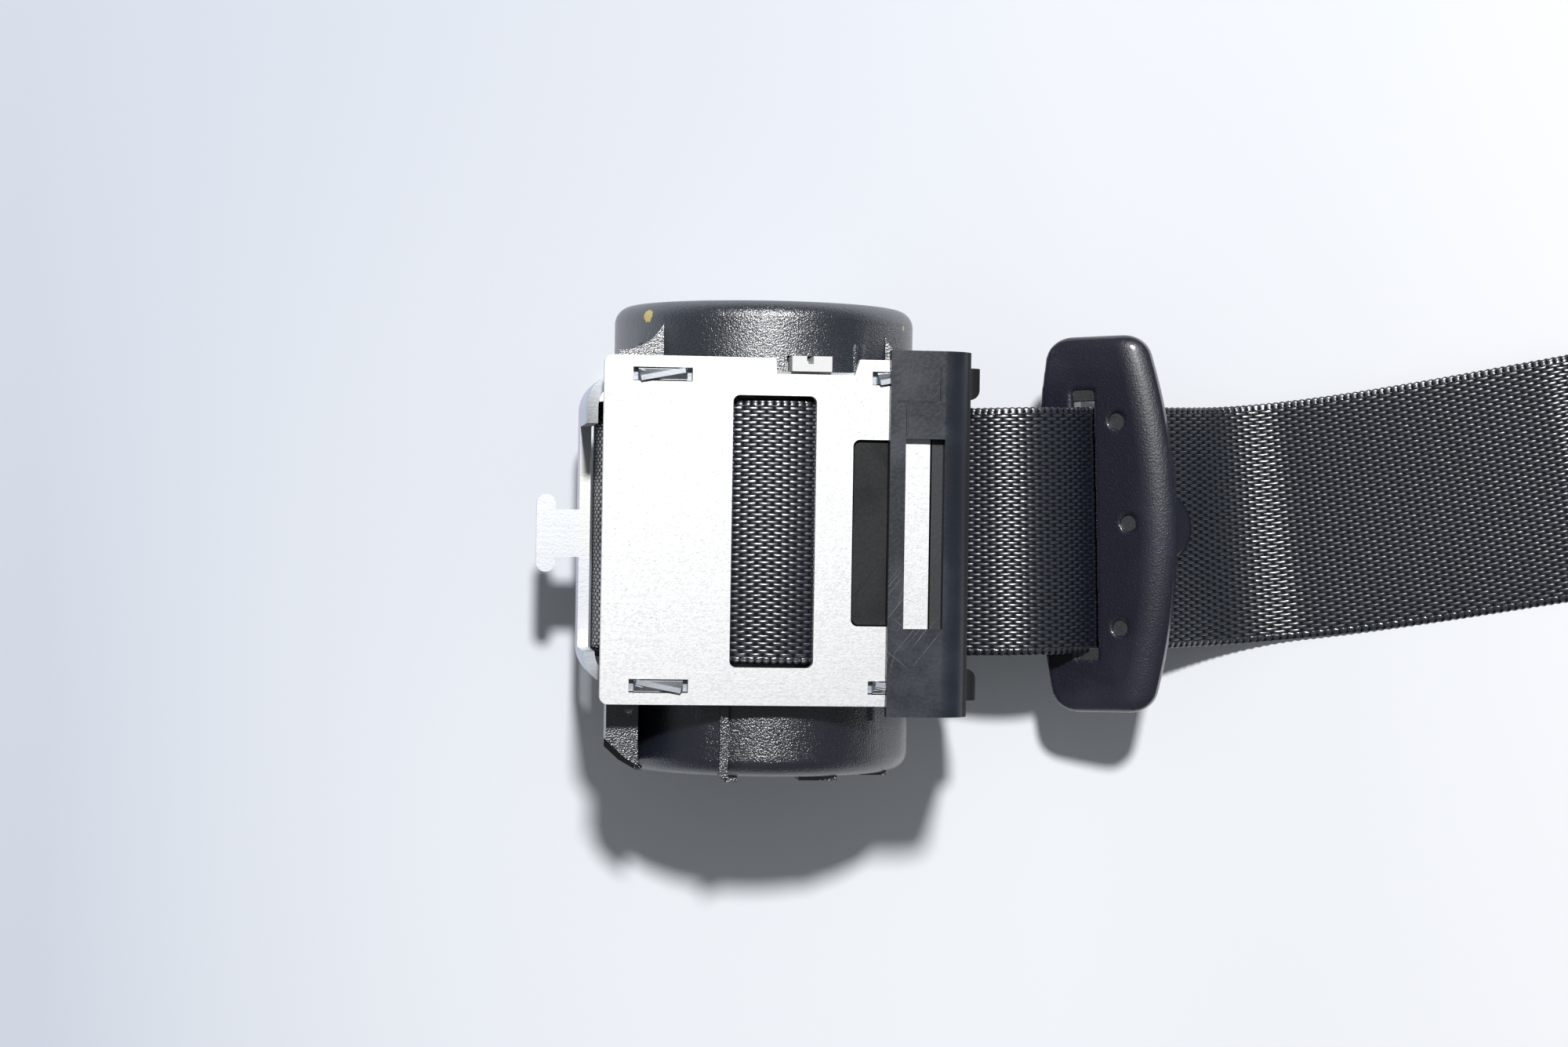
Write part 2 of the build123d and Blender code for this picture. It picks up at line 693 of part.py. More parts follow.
def sensor_lever():
    """Lever that lies over the ball, with the beak that the ball lifts into the gear's teeth."""
    px, pz = lever_pivot
    y = sensor_y()
    face = ball_x + ball_radius + ball_play
    half = 2.9
    low = axis_height - ball_drop - 3.5
    body = block((face, face + 0.8), (y - half, y + half), (low, axis_height + pz))
    body += disc(1.3, y - sensor_half + 1.2, y + sensor_half - 1.2, px, axis_height + pz)
    body += block((face, -gear_tip - 0.45), (y - 1.2, y + 1.2), (axis_height - 3.1, axis_height - 2.4))
    body -= disc(lever_pin_radius + 0.04, y - 9, y + 9, px, axis_height + pz)
    return body


# Tongue and stop button, built along the belt and turned with it


def belt_height(x):
    """Height of the webbing's middle on its straight run through the tongue."""
    return crest[1] + (x - crest[0]) * tan(radians(run_slope))


def turned(shape):
    """Turns a shape built along X into the belt's heading as it leaves the retractor."""
    pivot = (mouth_turn[0] + mouth_turn[1]) / 2
    return Pos(pivot, belt_shift, 0) * Rot(0, 0, run_heading) * Pos(-pivot, 0, 0) * shape


def tongue_plane():
    tilt = radians(tongue_tilt)
    return Plane(origin=(tongue_at, tongue_shift, belt_height(tongue_at)), x_dir=(cos(tilt), 0, sin(tilt)),
                 z_dir=(-sin(tilt), 0, cos(tilt)))


def belt_passage(play):
    """Straight way along the belt, wider than the webbing by play on each face."""
    tilt = radians(run_slope)
    way = Plane(origin=(tongue_at, tongue_shift, belt_height(tongue_at)), x_dir=(cos(tilt), 0, sin(tilt)),
                z_dir=(-sin(tilt), 0, cos(tilt)))
    return way * Box(tongue_length, 2 * slot_half, belt_thick + 2 * play)


def tongue_cover():
    """Overmould of the tongue: bowed outer edge, slot, slanting belt passage and core-pin holes."""
    half = tongue_length / 2
    bow = ThreePointArc((tongue_right - 5.6, -half), (tongue_right, 0), (tongue_right - 5.6, half))
    rest = Polyline((tongue_right - 5.6, half), (-tongue_left + 2.2, half), (-tongue_left, half - 13),
                    (-tongue_left, -half + 13), (-tongue_left + 2.2, -half), (tongue_right - 5.6, -half))
    outline = make_face(Wire([bow] + rest.edges()))
    ends = outline.vertices().filter_by(lambda v: abs(v.Y) > half - 1)
    outline = fillet(ends, 5.2)
    body = extrude(Pos(0, 0, -tongue_below) * outline, amount=tongue_below + tongue_above)
    body = fillet(body.edges().group_by(Axis.Z)[-1], 2.2)
    body = fillet(body.edges().group_by(Axis.Z)[0], 1.2)
    body -= plate(Pos(-3.4, 0) * Rectangle(23, 2 * half + 2), tongue_above - tongue_dish, 5)
    rim = body.edges().filter_by(GeomType.LINE).filter_by(lambda e: abs(e.center().X - 8.1) < 0.1
                                                          and e.center().Z > tongue_above - 0.3)
    if rim:
        body = fillet(rim, 0.9)
    body -= Box(slot_width, 2 * slot_half, 20)
    body -= blade_solid()
    for a, b, depth in ((6.6, 19.8, 4), (8.6, 0.2, 0.8), (6.6, -19.8, 4)):
        body -= Pos(a, b, tongue_above - tongue_dish - depth / 2) * Cylinder(core_pin_radius, depth + 0.02)
    return turned(tongue_plane() * body - belt_passage(passage_play))


def blade_solid():
    """Steel plate of the tongue in its own plane, latch window and belt slot cut through."""
    inside = RectangleRounded(18, tongue_length - 9, 4)
    blade = Pos(-blade_tip / 2 - 1, 0) * Rectangle(blade_tip - 2, blade_width)
    outline = Pos(2.4, 0) * inside + blade
    tip = outline.vertices().filter_by(lambda v: v.X < -blade_tip + 0.5 + 1)
    outline = fillet(tip, 4.5)
    outline -= Pos(-blade_tip + 13.5, 0) * RectangleRounded(latch_window[1], latch_window[0], 1.5)
    outline -= Rectangle(blade_slot_width, 2 * slot_half - 1.2)
    return extrude(Pos(0, 0, -blade_thick / 2) * outline, amount=blade_thick)


def tongue_blade():
    return turned(tongue_plane() * blade_solid())


def stop_plane():
    tilt = radians(run_slope)
    return Plane(origin=(stop_at, 0, belt_height(stop_at)), x_dir=(cos(tilt), 0, sin(tilt)),
                 z_dir=(-sin(tilt), 0, cos(tilt)))


def stop_half(height, way):
    cap = Pos(0, 0, (belt_thick + height) / 2 + stop_seat) * Cylinder(stop_radius, height)
    cap = fillet(cap.edges().group_by(Axis.Z)[-1], 1.4)
    return cap if way > 0 else Rot(180, 0, 0) * cap


def stop_button_front():
    stem = Cylinder(stop_stem, belt_thick + 2.4)
    return turned(stop_plane() * (stop_half(stop_front, 1) + stem))


def stop_button_back():
    stem = Cylinder(stop_stem, belt_thick + 2.4)
    return turned(stop_plane() * (stop_half(stop_back, -1) - stem))


# Webbing outside the retractor


def eased(value, start, length):
    """How far a value has come along a stretch, held between 0 and 1."""
    return min(max((value - start) / length, 0.0), 1.0)


def belt_heading(u):
    """Heading over the ground: a small turn at the mouth, a straight run, then a turn that eases out."""
    leaving = eased(u, mouth_turn[0], mouth_turn[1] - mouth_turn[0])
    turning = eased(u, straight_end, turn_length)
    return run_heading * leaving + turn_more * (1 - (1 - turning) ** 2)


def ground(u):
    """Place over the ground at a distance u along the belt's way, with its heading."""
    step = 0.5
    at = min(u, mouth_turn[0])
    x, y = at, belt_shift
    while at < u:
        span = min(step, u - at)
        heading = radians(belt_heading(at + span / 2))
        x += span * cos(heading)
        y += span * sin(heading)
        at += span
    return x, y, belt_heading(u)


def belt_stations(points, radii):
    """Stations of the webbing: (distance, height, pitch), a few on each arc and a grid on straight runs."""
    line = FilletPolyline(*points, radius=radii)
    stations = []
    for edge in line.edges():
        if edge.length < 0.02:
            continue
        start, end = (edge @ 0).X, (edge @ 1).X
        shares = [k / 4 for k in range(4)]
        if edge.geom_type == GeomType.LINE:
            grid = [straight_end + station_pitch * k for k in range(-10, 12)]
            shares = [0] + [(u - start) / (end - start) for u in grid if start + 1 < u < end - 1]
        for share in shares:
            place, way = edge @ share, edge % share
            stations.append((place.X, place.Y, degrees(atan2(way.Y, way.X))))
    place, way = line @ 1, line % 1
    stations.append((place.X, place.Y, degrees(atan2(way.Y, way.X))))
    return stations


def belt_run():
    """Webbing from the roll through the mouth, the tongue and the stop button towards the hank."""
    x, z, slope = roll_tangent()
    points = [(x, z), mouth_bend, crest, *lay_points, (hank_start - 6, hank_top()), (hank_start, hank_top())]
    radii = [mouth_bend_radius, crest_radius, *lay_radii, 20.0]
    sections = []
    for u, z, pitch in belt_stations(points, radii):
        gx, gy, heading = ground(u)
        tilt, turn = radians(pitch), radians(heading)
        along = (cos(tilt) * cos(turn), cos(tilt) * sin(turn), sin(tilt))
        plane = Plane(origin=(gx, gy, z), x_dir=(-sin(turn), cos(turn), 0), z_dir=along)
        sections.append(plane * Rectangle(belt_width, belt_thick))
    solid = loft(sections, ruled=True)
    return solid - turned(stop_plane() * Cylinder(stop_stem + running, 8))


def hank_top():
    return hank_low + hank_pitch * (hank_layers - 1)


def on_hank(shape):
    """Carries a shape drawn along X at distance u to where the belt's way has led it."""
    x, y, heading = ground(hank_start)
    return Pos(x, y, 0) * Rot(0, 0, heading) * Pos(-hank_start, 0, 0) * shape


def belt_hank():
    """Rest of the webbing folded to and fro, its end sewn round the anchor plate's bar."""
    points = [(hank_start + belt_thick / 2 + 0.01, hank_top())]
    for layer in range(hank_layers - 1):
        z = hank_top() - layer * hank_pitch
        u = hank_end if layer % 2 == 0 else hank_start + 4
        points += [(u, z), (u, z - hank_pitch)]
    reach = anchor_bar_at + anchor_bar + 1.6
    over = hank_low + anchor_thick + 2 * 0.35 + belt_thick
    sewn = hank_low + belt_thick + 0.06
    down = reach - 19
    points += [(reach, hank_low), (reach, over), (reach - 10, over), (down, sewn)]
    points += [(down - stitched_length, sewn)]
    fold = hank_pitch / 2 - 0.01
    radii = [fold] * (2 * hank_layers - 2) + [2.3, 2.3, 8.0, 8.0]
    line = FilletPolyline(*points, radius=radii)
    band = offset(line, amount=belt_thick / 2, side=Side.BOTH)
    face = Plane(origin=(0, belt_width / 2, 0), x_dir=(1, 0, 0), z_dir=(0, -1, 0)) * make_face(band)
    return on_hank(extrude(face, amount=belt_width))


def hank_band():
    """Elastic band round the folded webbing."""
    low = hank_low - belt_thick / 2 - 0.05
    high = hank_top() + belt_thick / 2 + 0.05
    half = belt_width / 2 + 0.05
    ring = RectangleRounded(2 * (half + band_thick), high - low + 2 * band_thick, 1.5)
    ring -= Rectangle(2 * half, high - low)
    face = Plane(origin=(band_at - band_width / 2, 0, (low + high) / 2), x_dir=(0, 1, 0), z_dir=(1, 0, 0))
    return on_hank(extrude(face * ring, amount=band_width))


def anchor_plate():
    """Steel plate on the lap end: bar and slot for the webbing, round nose with the bolt hole."""
    bar = Pos(anchor_bar_at + 8, 0) * Rectangle(16, anchor_width)
    nose = Pos(anchor_bar_at + anchor_reach, 0) * Circle(anchor_nose)
    outline = make_hull(bar.edges() + nose.edges())
    outline = fillet(outline.vertices().filter_by(lambda v: v.X < anchor_bar_at + 1), 3)
    slot_at = anchor_bar_at + anchor_bar + 2.1
    outline -= Pos(slot_at, 0) * RectangleRounded(4.2, belt_width + 3, 1.5)
    outline -= Pos(anchor_bar_at + anchor_reach, 0) * Circle(anchor_hole_d / 2)
    z = hank_low + belt_thick / 2 + 0.35
    return on_hank(extrude(Pos(0, 0, z) * outline, amount=anchor_thick))


def export(name, shape):
    export_step(Pos(-hole_from_spool, 0, 0) * shape, f"parts/{name}.step")


os.makedirs("parts", exist_ok=True)
export("frame_bracket", frame_bracket())
export("tie_plate", tie_plate())
export("mounting_plate", mounting_plate())
export("belt_guide", belt_guide())
export("spool", spool())
export("torsion_bar", torsion_bar())
export("belt_roll", belt_roll())
export("belt_end_pin", belt_end_pin())
export("spool_bushes", spool_bushes())
export("ratchet_wheel", ratchet_wheel())
export("lock_gear", lock_gear())
export("locking_pawl", locking_pawl())
export("pawl_pin", pawl_pin())
export("sensor_housing", sensor_housing())
export("sensor_ball", sensor_ball())
export("sensor_lever", sensor_lever())
export("sensor_lever_pin", sensor_lever_pin())
export("spring_arbor", spring_arbor())
export("main_spring", main_spring())
export("spring_base", spring_base())
export("spring_cover", spring_cover())
export("lock_cover", lock_cover())
export("spring_cover_pins", cover_pins(1))
export("lock_cover_pins", cover_pins(-1))
export("tongue_cover", tongue_cover())
export("tongue_blade", tongue_blade())
export("stop_button_front", stop_button_front())
export("stop_button_back", stop_button_back())
export("belt_run", belt_run())
export("belt_hank", belt_hank())
export("hank_band", hank_band())
export("anchor_plate", anchor_plate())
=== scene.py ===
"""Looks of an emergency-locking seat belt retractor with its webbing, tongue and stop button."""

from math import cos, pi, radians, sin, tan

import bmesh
import bpy
from mathutils import Matrix, Vector


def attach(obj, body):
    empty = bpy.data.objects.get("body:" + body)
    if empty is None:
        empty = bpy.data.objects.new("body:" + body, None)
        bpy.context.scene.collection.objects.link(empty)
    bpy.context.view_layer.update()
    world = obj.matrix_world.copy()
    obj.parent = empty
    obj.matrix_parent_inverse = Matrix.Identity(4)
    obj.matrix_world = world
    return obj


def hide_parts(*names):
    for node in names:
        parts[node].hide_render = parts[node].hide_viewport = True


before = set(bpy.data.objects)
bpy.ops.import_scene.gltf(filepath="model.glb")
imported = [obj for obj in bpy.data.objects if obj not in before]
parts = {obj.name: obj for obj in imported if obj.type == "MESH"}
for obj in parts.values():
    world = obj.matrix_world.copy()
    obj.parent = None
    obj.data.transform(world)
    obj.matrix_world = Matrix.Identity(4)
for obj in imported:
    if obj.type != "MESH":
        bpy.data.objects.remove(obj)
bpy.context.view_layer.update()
scene = bpy.context.scene


# Bracket and mounting plate: cold-rolled steel, stamped and bent, zinc plated with a thin passivation
# that shines blue and yellow. Walls facing -x carry a lighter lilac and blue: partly the passivation's
# tint, partly painted light. Sheared edges keep a small radius.
def shape_object(name, mesh):
    made = bpy.data.objects.new(name, mesh)
    scene.collection.objects.link(made)
    return made


class Value:
    """A number in a material; writing sums and products of it adds the Math nodes."""

    def __init__(self, finish, socket):
        self.finish = finish
        self.socket = socket

    def maths(self, operation, *others):
        return self.finish.add("ShaderNodeMath", {"operation": operation}, [self, *others])

    def __add__(self, other):
        return self.maths("ADD", other)

    def __radd__(self, other):
        return self.maths("ADD", other)

    def __sub__(self, other):
        return self.maths("SUBTRACT", other)

    def __rsub__(self, other):
        return self.finish.add("ShaderNodeMath", {"operation": "SUBTRACT"}, [other, self])

    def __mul__(self, other):
        return self.maths("MULTIPLY", other)

    def __rmul__(self, other):
        return self.maths("MULTIPLY", other)

    def __truediv__(self, other):
        return self.maths("DIVIDE", other)

    def __rtruediv__(self, other):
        return self.finish.add("ShaderNodeMath", {"operation": "DIVIDE"}, [other, self])

    def above(self, level, soft):
        """0 below a level and 1 above it, with a soft step between."""
        return self.finish.add(
            "ShaderNodeMapRange", {"interpolation_type": "SMOOTHSTEP"}, [self, level - soft, level + soft]
        )


class Finish:
    """A procedural material built round one surface shader."""

    def __init__(self, name, **surface):
        self.material = bpy.data.materials.new(name)
        self.material.use_nodes = True
        self.tree = self.material.node_tree
        self.shader = self.tree.nodes["Principled BSDF"]
        self.set(**surface)

    def add(self, kind, settings=None, inputs=(), output=0):
        """Adds a node: settings first, then the values or links of its sockets, by order or by name."""
        node = self.tree.nodes.new(kind)
        for key, value in (settings or {}).items():
            if key == "stops":
                ramp = node.color_ramp
                while len(ramp.elements) < len(value):
                    ramp.elements.new(0.5)
                for element, (place, colour) in zip(ramp.elements, value):
                    element.position = place
                    element.color = (*colour, 1)
            else:
                setattr(node, key, value)
        pairs = inputs.items() if isinstance(inputs, dict) else enumerate(inputs)
        for key, value in pairs:
            self.plug(node.inputs[key], value)
        return Value(self, node.outputs[output])

    def plug(self, socket, value):
        if isinstance(value, Value):
            self.tree.links.new(value.socket, socket)
        elif isinstance(value, (tuple, list)) and len(value) == 3 and socket.type == "RGBA":
            socket.default_value = (*value, 1)
        else:
            socket.default_value = value

    def set(self, **surface):
        for key, value in surface.items():
            self.plug(self.shader.inputs[key.replace("_", " ").title().replace("Ior", "IOR")], value)

    def place(self, scale=(1, 1, 1), source="Object"):
        """Coordinates of the surface, in the row's metres, stretched by a scale."""
        coordinates = self.add("ShaderNodeTexCoord", output=source)
        return self.add("ShaderNodeMapping", {}, {"Vector": coordinates, "Scale": scale})

    def noise(self, vector, scale, detail=2.0, rough=0.5):
        return self.add(
            "ShaderNodeTexNoise", {}, {"Vector": vector, "Scale": scale, "Detail": detail, "Roughness": rough}
        )

    def mix(self, share, first, second):
        """Blends two colours by a share."""
        return self.add(
            "ShaderNodeMix", {"data_type": "RGBA"}, {0: share, 6: first, 7: second}, output=2
        )

    def bump(self, height, distance, strength=1.0, under=None):
        sockets = {"Height": height, "Distance": distance, "Strength": strength}
        if under:
            sockets["Normal"] = under
        return self.add("ShaderNodeBump", {}, sockets)

    def wear(self, obj):
        obj.data.materials.clear()
        obj.data.materials.append(self.material)
        return obj


def softened(node, name, width, body, finish, reshape=None, cutters=()):
    """Copy of a solid with its sharp edges broken by a small radius, as moulding and stamping leave them."""
    made = bmesh.new()
    made.from_mesh(parts[node].data)
    bmesh.ops.remove_doubles(made, verts=made.verts, dist=0.000002)
    bmesh.ops.dissolve_limit(made, angle_limit=radians(0.5), verts=made.verts, edges=made.edges)
    if reshape:
        reshape(made)
    for face in made.faces:
        face.smooth = True
    mesh = bpy.data.meshes.new(name)
    made.to_mesh(mesh)
    made.free()
    blank = shape_object(name + "_blank", mesh)
    for cutter in cutters:
        cut = blank.modifiers.new("cut", "BOOLEAN")
        cut.object = cutter
        cut.solver = "EXACT"
    edges = blank.modifiers.new("edges", "BEVEL")
    edges.width = width
    edges.segments = 2
    edges.limit_method = "ANGLE"
    edges.angle_limit = radians(40)
    edges.harden_normals = True
    weights = blank.modifiers.new("weights", "WEIGHTED_NORMAL")
    weights.keep_sharp = True
    bpy.context.view_layer.update()
    evaluated = blank.evaluated_get(bpy.context.evaluated_depsgraph_get())
    piece = shape_object(name, bpy.data.meshes.new_from_object(evaluated))
    bpy.data.objects.remove(blank)
    for cutter in cutters:
        bpy.data.objects.remove(cutter)
    finish.wear(piece)
    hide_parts(node)
    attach(piece, body)


def zinc_finish(name, base, dark, rough, pits, spangled=0.3, tints=None, painted_shade_height=None):
    """Plated steel: rolled grain, spangle and dark pits. Tints with a painted lighter side, and painted shade
    above a height, come if given.
    """
    metal = Finish(name, metallic=1.0, roughness=rough)
    where = metal.place()
    grain = metal.noise(where, 2900, 2.0, 0.6)
    cloud = metal.noise(where, 55, 3.0)
    rolled = metal.noise(metal.place((90, 1500, 900)), 1.0, 2.0)
    cells = metal.add("ShaderNodeTexVoronoi", {}, {"Vector": where, "Scale": 2600.0}, output="Color")
    spangle = metal.add("ShaderNodeSeparateXYZ", {}, [cells])
    specks = (grain + cloud * 0.12).above(0.74, 0.05)
    colour = metal.mix(specks * pits, base, dark)
    colour = metal.mix(spangle.above(0.62, 0.30) * spangled, colour, tuple(c * 0.7 for c in base))
    if painted_shade_height:
        # Painted shade: everything above the height is darkened to about a third of the base colour.
        height = metal.add("ShaderNodeSeparateXYZ", {}, [where], output=2)
        colour = metal.mix(height.above(painted_shade_height, 0.002) * 0.85, colour, tuple(c * 0.2 for c in base))
    if tints:
        drift = metal.noise(where, 34, 2.0)
        colour = metal.mix(drift.above(0.40, 0.07) * 0.55, colour, tints[0])
        colour = metal.mix(drift.above(0.58, 0.06) * 0.6, colour, tints[1])
        # Painted light: walls that face -x take a lighter lilac and blue, partly the passivation's tint.
        facing = metal.add("ShaderNodeSeparateXYZ", {}, [metal.add("ShaderNodeTexCoord", output="Normal")])
        wall = (0.0 - facing).above(0.6, 0.2)
        level = metal.add("ShaderNodeSeparateXYZ", {}, [where], output=2) + (drift - 0.5) * 0.02
        shine = metal.mix(level.above(0.043, 0.012), (0.66, 0.60, 0.74), (0.52, 0.68, 0.78))
        colour = metal.mix(wall * 0.75, colour, shine)
    metal.set(
        base_color=colour,
        roughness=rough - 0.06 + grain * 0.12 + spangle * 0.06 + specks * 0.1,
        normal=metal.bump(grain * 0.7 + rolled * 0.3, 0.000035, 0.55),
    )
    return metal


# The bracket's plating gets painted shade above 49 mm.
tinted_zinc = zinc_finish(
    "tinted_zinc", (0.60, 0.605, 0.60), (0.28, 0.28, 0.27), 0.44, 0.3, 0.2,
    ((0.55, 0.58, 0.64), (0.61, 0.60, 0.53)), 0.049,
)
softened("frame_bracket", "bracket_pressing", 0.00022, "retractor", tinted_zinc)
softened("mounting_plate", "back_plate", 0.0003, "retractor", tinted_zinc)


# Tie plate: bright spangled zinc, nearly white under the lamp, with fine dark pits. Four tabs of the
# bracket are twisted over it, so it needs no rivets.
bright_zinc = zinc_finish("bright_zinc", (0.70, 0.705, 0.71), (0.33, 0.34, 0.36), 0.50, 0.4, 0.28)
softened("tie_plate", "tie_sheet", 0.00014, "retractor", bright_zinc)


# Spool and load path: die-cast spool, torsion bar, ratchet, pawl and pins in oiled dark steel.
def dark_metal_finish(name, base, rough):
    metal = Finish(name, metallic=0.9, roughness=rough)
    where = metal.place()
    turned_marks = metal.noise(metal.place((400, 3000, 400)), 1.0, 2.0)
    stain = metal.noise(where, 240, 3.0)
    metal.set(
        base_color=metal.mix(stain.above(0.55, 0.2), base, tuple(c * 0.6 for c in base)),
        roughness=rough + stain * 0.15 - 0.05,
        normal=metal.bump(turned_marks, 0.00002, 0.5),
    )
    return metal


dark_steel = dark_metal_finish("dark_steel", (0.20, 0.20, 0.205), 0.38)
die_cast = dark_metal_finish("die_cast", (0.42, 0.425, 0.43), 0.48)
for name in (
    "torsion_bar", "belt_end_pin", "ratchet_wheel", "locking_pawl", "pawl_pin", "sensor_ball",
    "sensor_lever_pin", "main_spring",
):
    dark_steel.wear(parts[name])
die_cast.wear(parts["spool"])


# Wound webbing: about 16 turns on the spool, whose edges show as fine rings at both sides. The weave is
# the same as on the free webbing, so it shows in the tie plate's window.
def webbing_finish(name, base, painted_glint):
    """Woven strap on its own UV map, which runs in millimetres: along it in u, across it in v."""
    yarn_width = 0.653
    float_length = 2.76
    half_width = 23.5
    cloth = Finish(name, ior=1.5, specular_ior_level=0.2, coat_roughness=0.27, coat_ior=2.3)
    uv = cloth.add("ShaderNodeUVMap", {"uv_map": "weave"})
    split = cloth.add("ShaderNodeSeparateXYZ", {}, [uv])
    across_it = Value(cloth, split.socket.node.outputs[1])
    wander = cloth.noise(uv, 0.35, 1.0) - 0.5
    along = split + wander * 0.45
    count = (across_it + wander * 0.12) / yarn_width
    yarn = count.maths("FLOOR")
    across_yarn = count.maths("FRACT") - 0.5
    odd = (yarn * 0.5).maths("FRACT")
    crown = (1.0 - across_yarn * across_yarn * 3.7).maths("MAXIMUM", 0.0).maths("POWER", 0.6)
    phase = (along / float_length + odd).maths("FRACT") - 0.5
    swell = (phase * (2 * pi)).maths("COSINE") * 0.5 + 0.5
    floats = crown * swell.maths("POWER", 0.55)
    edge = across_it.maths("ABSOLUTE").above(half_width - 1.15, 0.12)
    loops = ((along / (float_length / 2)).maths("FRACT") - 0.5) * 2.0
    loops = 1.0 - loops * loops
    strands = (across_it * 5.2).maths("SINE") * 0.25
    relief = floats * (1.0 - edge) + (loops * 0.8 + strands) * edge
    threads = cloth.noise(cloth.add("ShaderNodeMapping", {}, {"Vector": uv, "Scale": (0.8, 8.0, 1.0)}), 1.0)
    patches = cloth.noise(uv, 0.09, 2.0)
    coarse = cloth.bump(relief, 0.00015, 1.0)
    fine = cloth.bump(threads, 0.00003, 0.6, coarse)
    # Painted shade: the gaps between floats fall to 0.15 of the base. Painted glint: lighter colour on the
    # float tops where the threads run high.
    lit = relief.above(0.42, 0.30)
    colour = cloth.mix(lit, tuple(c * 0.15 for c in base), base)
    colour = cloth.mix(threads.above(0.60, 0.12) * lit * 0.6, colour, painted_glint)
    colour = cloth.mix(patches.above(0.5, 0.2) * 0.25, colour, tuple(c * 0.7 for c in base))
    cloth.set(base_color=colour, normal=fine, roughness=0.66 - lit * 0.30 + threads * 0.08, coat_weight=lit)
    cloth.plug(cloth.shader.inputs["Coat Normal"], fine)
    return cloth


webbing = webbing_finish("webbing", (0.009, 0.0135, 0.025), (0.070, 0.088, 0.125))
belt_half = 0.0235
belt_thick = 0.0012
roll_radius = 0.0315
hub_radius = 0.012
axis = Vector((-0.049, 0.0335))


def wound_roll():
    """Ring of webbing with a weave map round its outside and a rounded ridge for each turn at its sides."""
    turns = 16
    pitch = (roll_radius - hub_radius) / turns
    groove = 0.00045
    ridge = ((0.08, groove), (0.5, 0.0))
    rim = [(hub_radius + pitch * (k + share), dip) for k in range(turns) for share, dip in ridge]
    selvedge = [(roll_radius - 0.00012, belt_half - 0.0002), (roll_radius, belt_half - 0.0006)]
    outline = [(r, -belt_half + dip) for r, dip in rim] + [(r, -y) for r, y in selvedge]
    outline += [(r, y) for r, y in reversed(selvedge)] + [(r, belt_half - dip) for r, dip in reversed(rim)]
    steps = 144
    outer_turn = 198.72
    stretch = outer_turn / (2 * pi)
    made = bmesh.new()
    weave = made.loops.layers.uv.new("weave")
    rings = []
    for k in range(steps):
        turn = 2 * pi * k / steps
        rings.append([
            made.verts.new((axis.x + r * cos(turn), y, axis.y + r * sin(turn))) for r, y in outline
        ])
    for k in range(steps):
        first, last = rings[k], rings[(k + 1) % steps]
        for j in range(len(outline)):
            n = (j + 1) % len(outline)
            face = made.faces.new((first[j], first[n], last[n], last[j]))
            face.smooth = True
            turn = 2 * pi / steps
            for loop, (around, at) in zip(face.loops, ((k, j), (k, n), (k + 1, n), (k + 1, j))):
                loop[weave].uv = (around * turn * stretch, outline[at][1] * 1000)
    bmesh.ops.recalc_face_normals(made, faces=made.faces)
    mesh = bpy.data.meshes.new("wound_webbing")
    made.to_mesh(mesh)
    made.free()
    piece = shape_object("wound_webbing", mesh)
    webbing.wear(piece)
    return piece


roll = wound_roll()
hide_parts("belt_roll")
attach(roll, "spool")


# Covers: black caps with a spark-eroded satin grain over the rewind spring and the lock. The spring
# cover has two dabs of yellow inspection paint; behind it lies a white base whose lug shows in the notch.
def moulded_finish(
    name, base, worn, grain_scale, grain_depth, rough, dust=0.3, shine=0.9, ior=1.7, coat=0.0, dabs=()
):
    """Moulded plastic: eroded grain, worn patches, light dust and dabs of paint at given places."""
    plastic = Finish(
        name, ior=ior, specular_ior_level=shine, coat_weight=coat, coat_roughness=0.12, coat_ior=1.65
    )
    where = plastic.place()
    grain = plastic.noise(where, grain_scale, 2.0, 0.55)
    cloud = plastic.noise(where, 70, 3.0)
    patch = cloud.above(0.56, 0.12)
    colour = plastic.mix(patch * 0.35 + grain.above(0.66, 0.06) * dust, base, worn)
    for centre, radius in dabs:
        near = plastic.add("ShaderNodeVectorMath", {"operation": "DISTANCE"}, [where, centre], output="Value")
        smear = near + plastic.noise(where, 1400, 2.0) * 0.0007
        colour = plastic.mix(1.0 - smear.above(radius, 0.0001), colour, (0.62, 0.47, 0.10))
    plastic.set(
        base_color=colour,
        roughness=rough + (grain - 0.5) * 0.16 - patch * 0.03,
        normal=plastic.bump(grain, grain_depth, 0.8),
    )
    return plastic


paint_dabs = (((-0.0722, 0.0388, 0.0495), 0.0016), ((-0.0247, 0.0377, 0.0471), 0.0009))
cover_black = moulded_finish(
    "cover_black", (0.010, 0.0125, 0.021), (0.038, 0.043, 0.054), 3300, 0.00015, 0.24
)
painted_black = moulded_finish(
    "painted_black", (0.015, 0.020, 0.030), (0.052, 0.060, 0.074), 3300, 0.00015, 0.27,
    ior=1.85, dabs=paint_dabs,
)
milk_white = moulded_finish(
    "milk_white", (0.74, 0.74, 0.73), (0.80, 0.80, 0.79), 900, 0.00002, 0.42, 0.2, 0.5
)
softened("spring_cover", "spring_cap", 0.0003, "retractor", painted_black)


def lean_corner(made):
    """Leans the outer wall of the lock cover's corner block inwards and slants the room behind it."""
    block_from, wall_left, room_left = -0.0760, -0.0797, -0.0781
    room_front, room_foot, room_head = -0.0422, 0.022, 0.0451
    top_left, top, lean = -0.0791, 0.056, 0.0563
    roof, slanted_by = 0.0515, 0.0029
    for vert in made.verts:
        if vert.co.x < block_from:
            inside = vert.co.y < room_front and room_foot < vert.co.z < room_head
            slant = abs(vert.co.x - room_left) < 0.0001 and inside
            wall = top_left + (top - vert.co.z) * lean
            inset = vert.co.x - wall_left
            vert.co.x = wall + inset * (0.6 if vert.co.z < roof else 0.12) + (slanted_by if slant else 0.0)


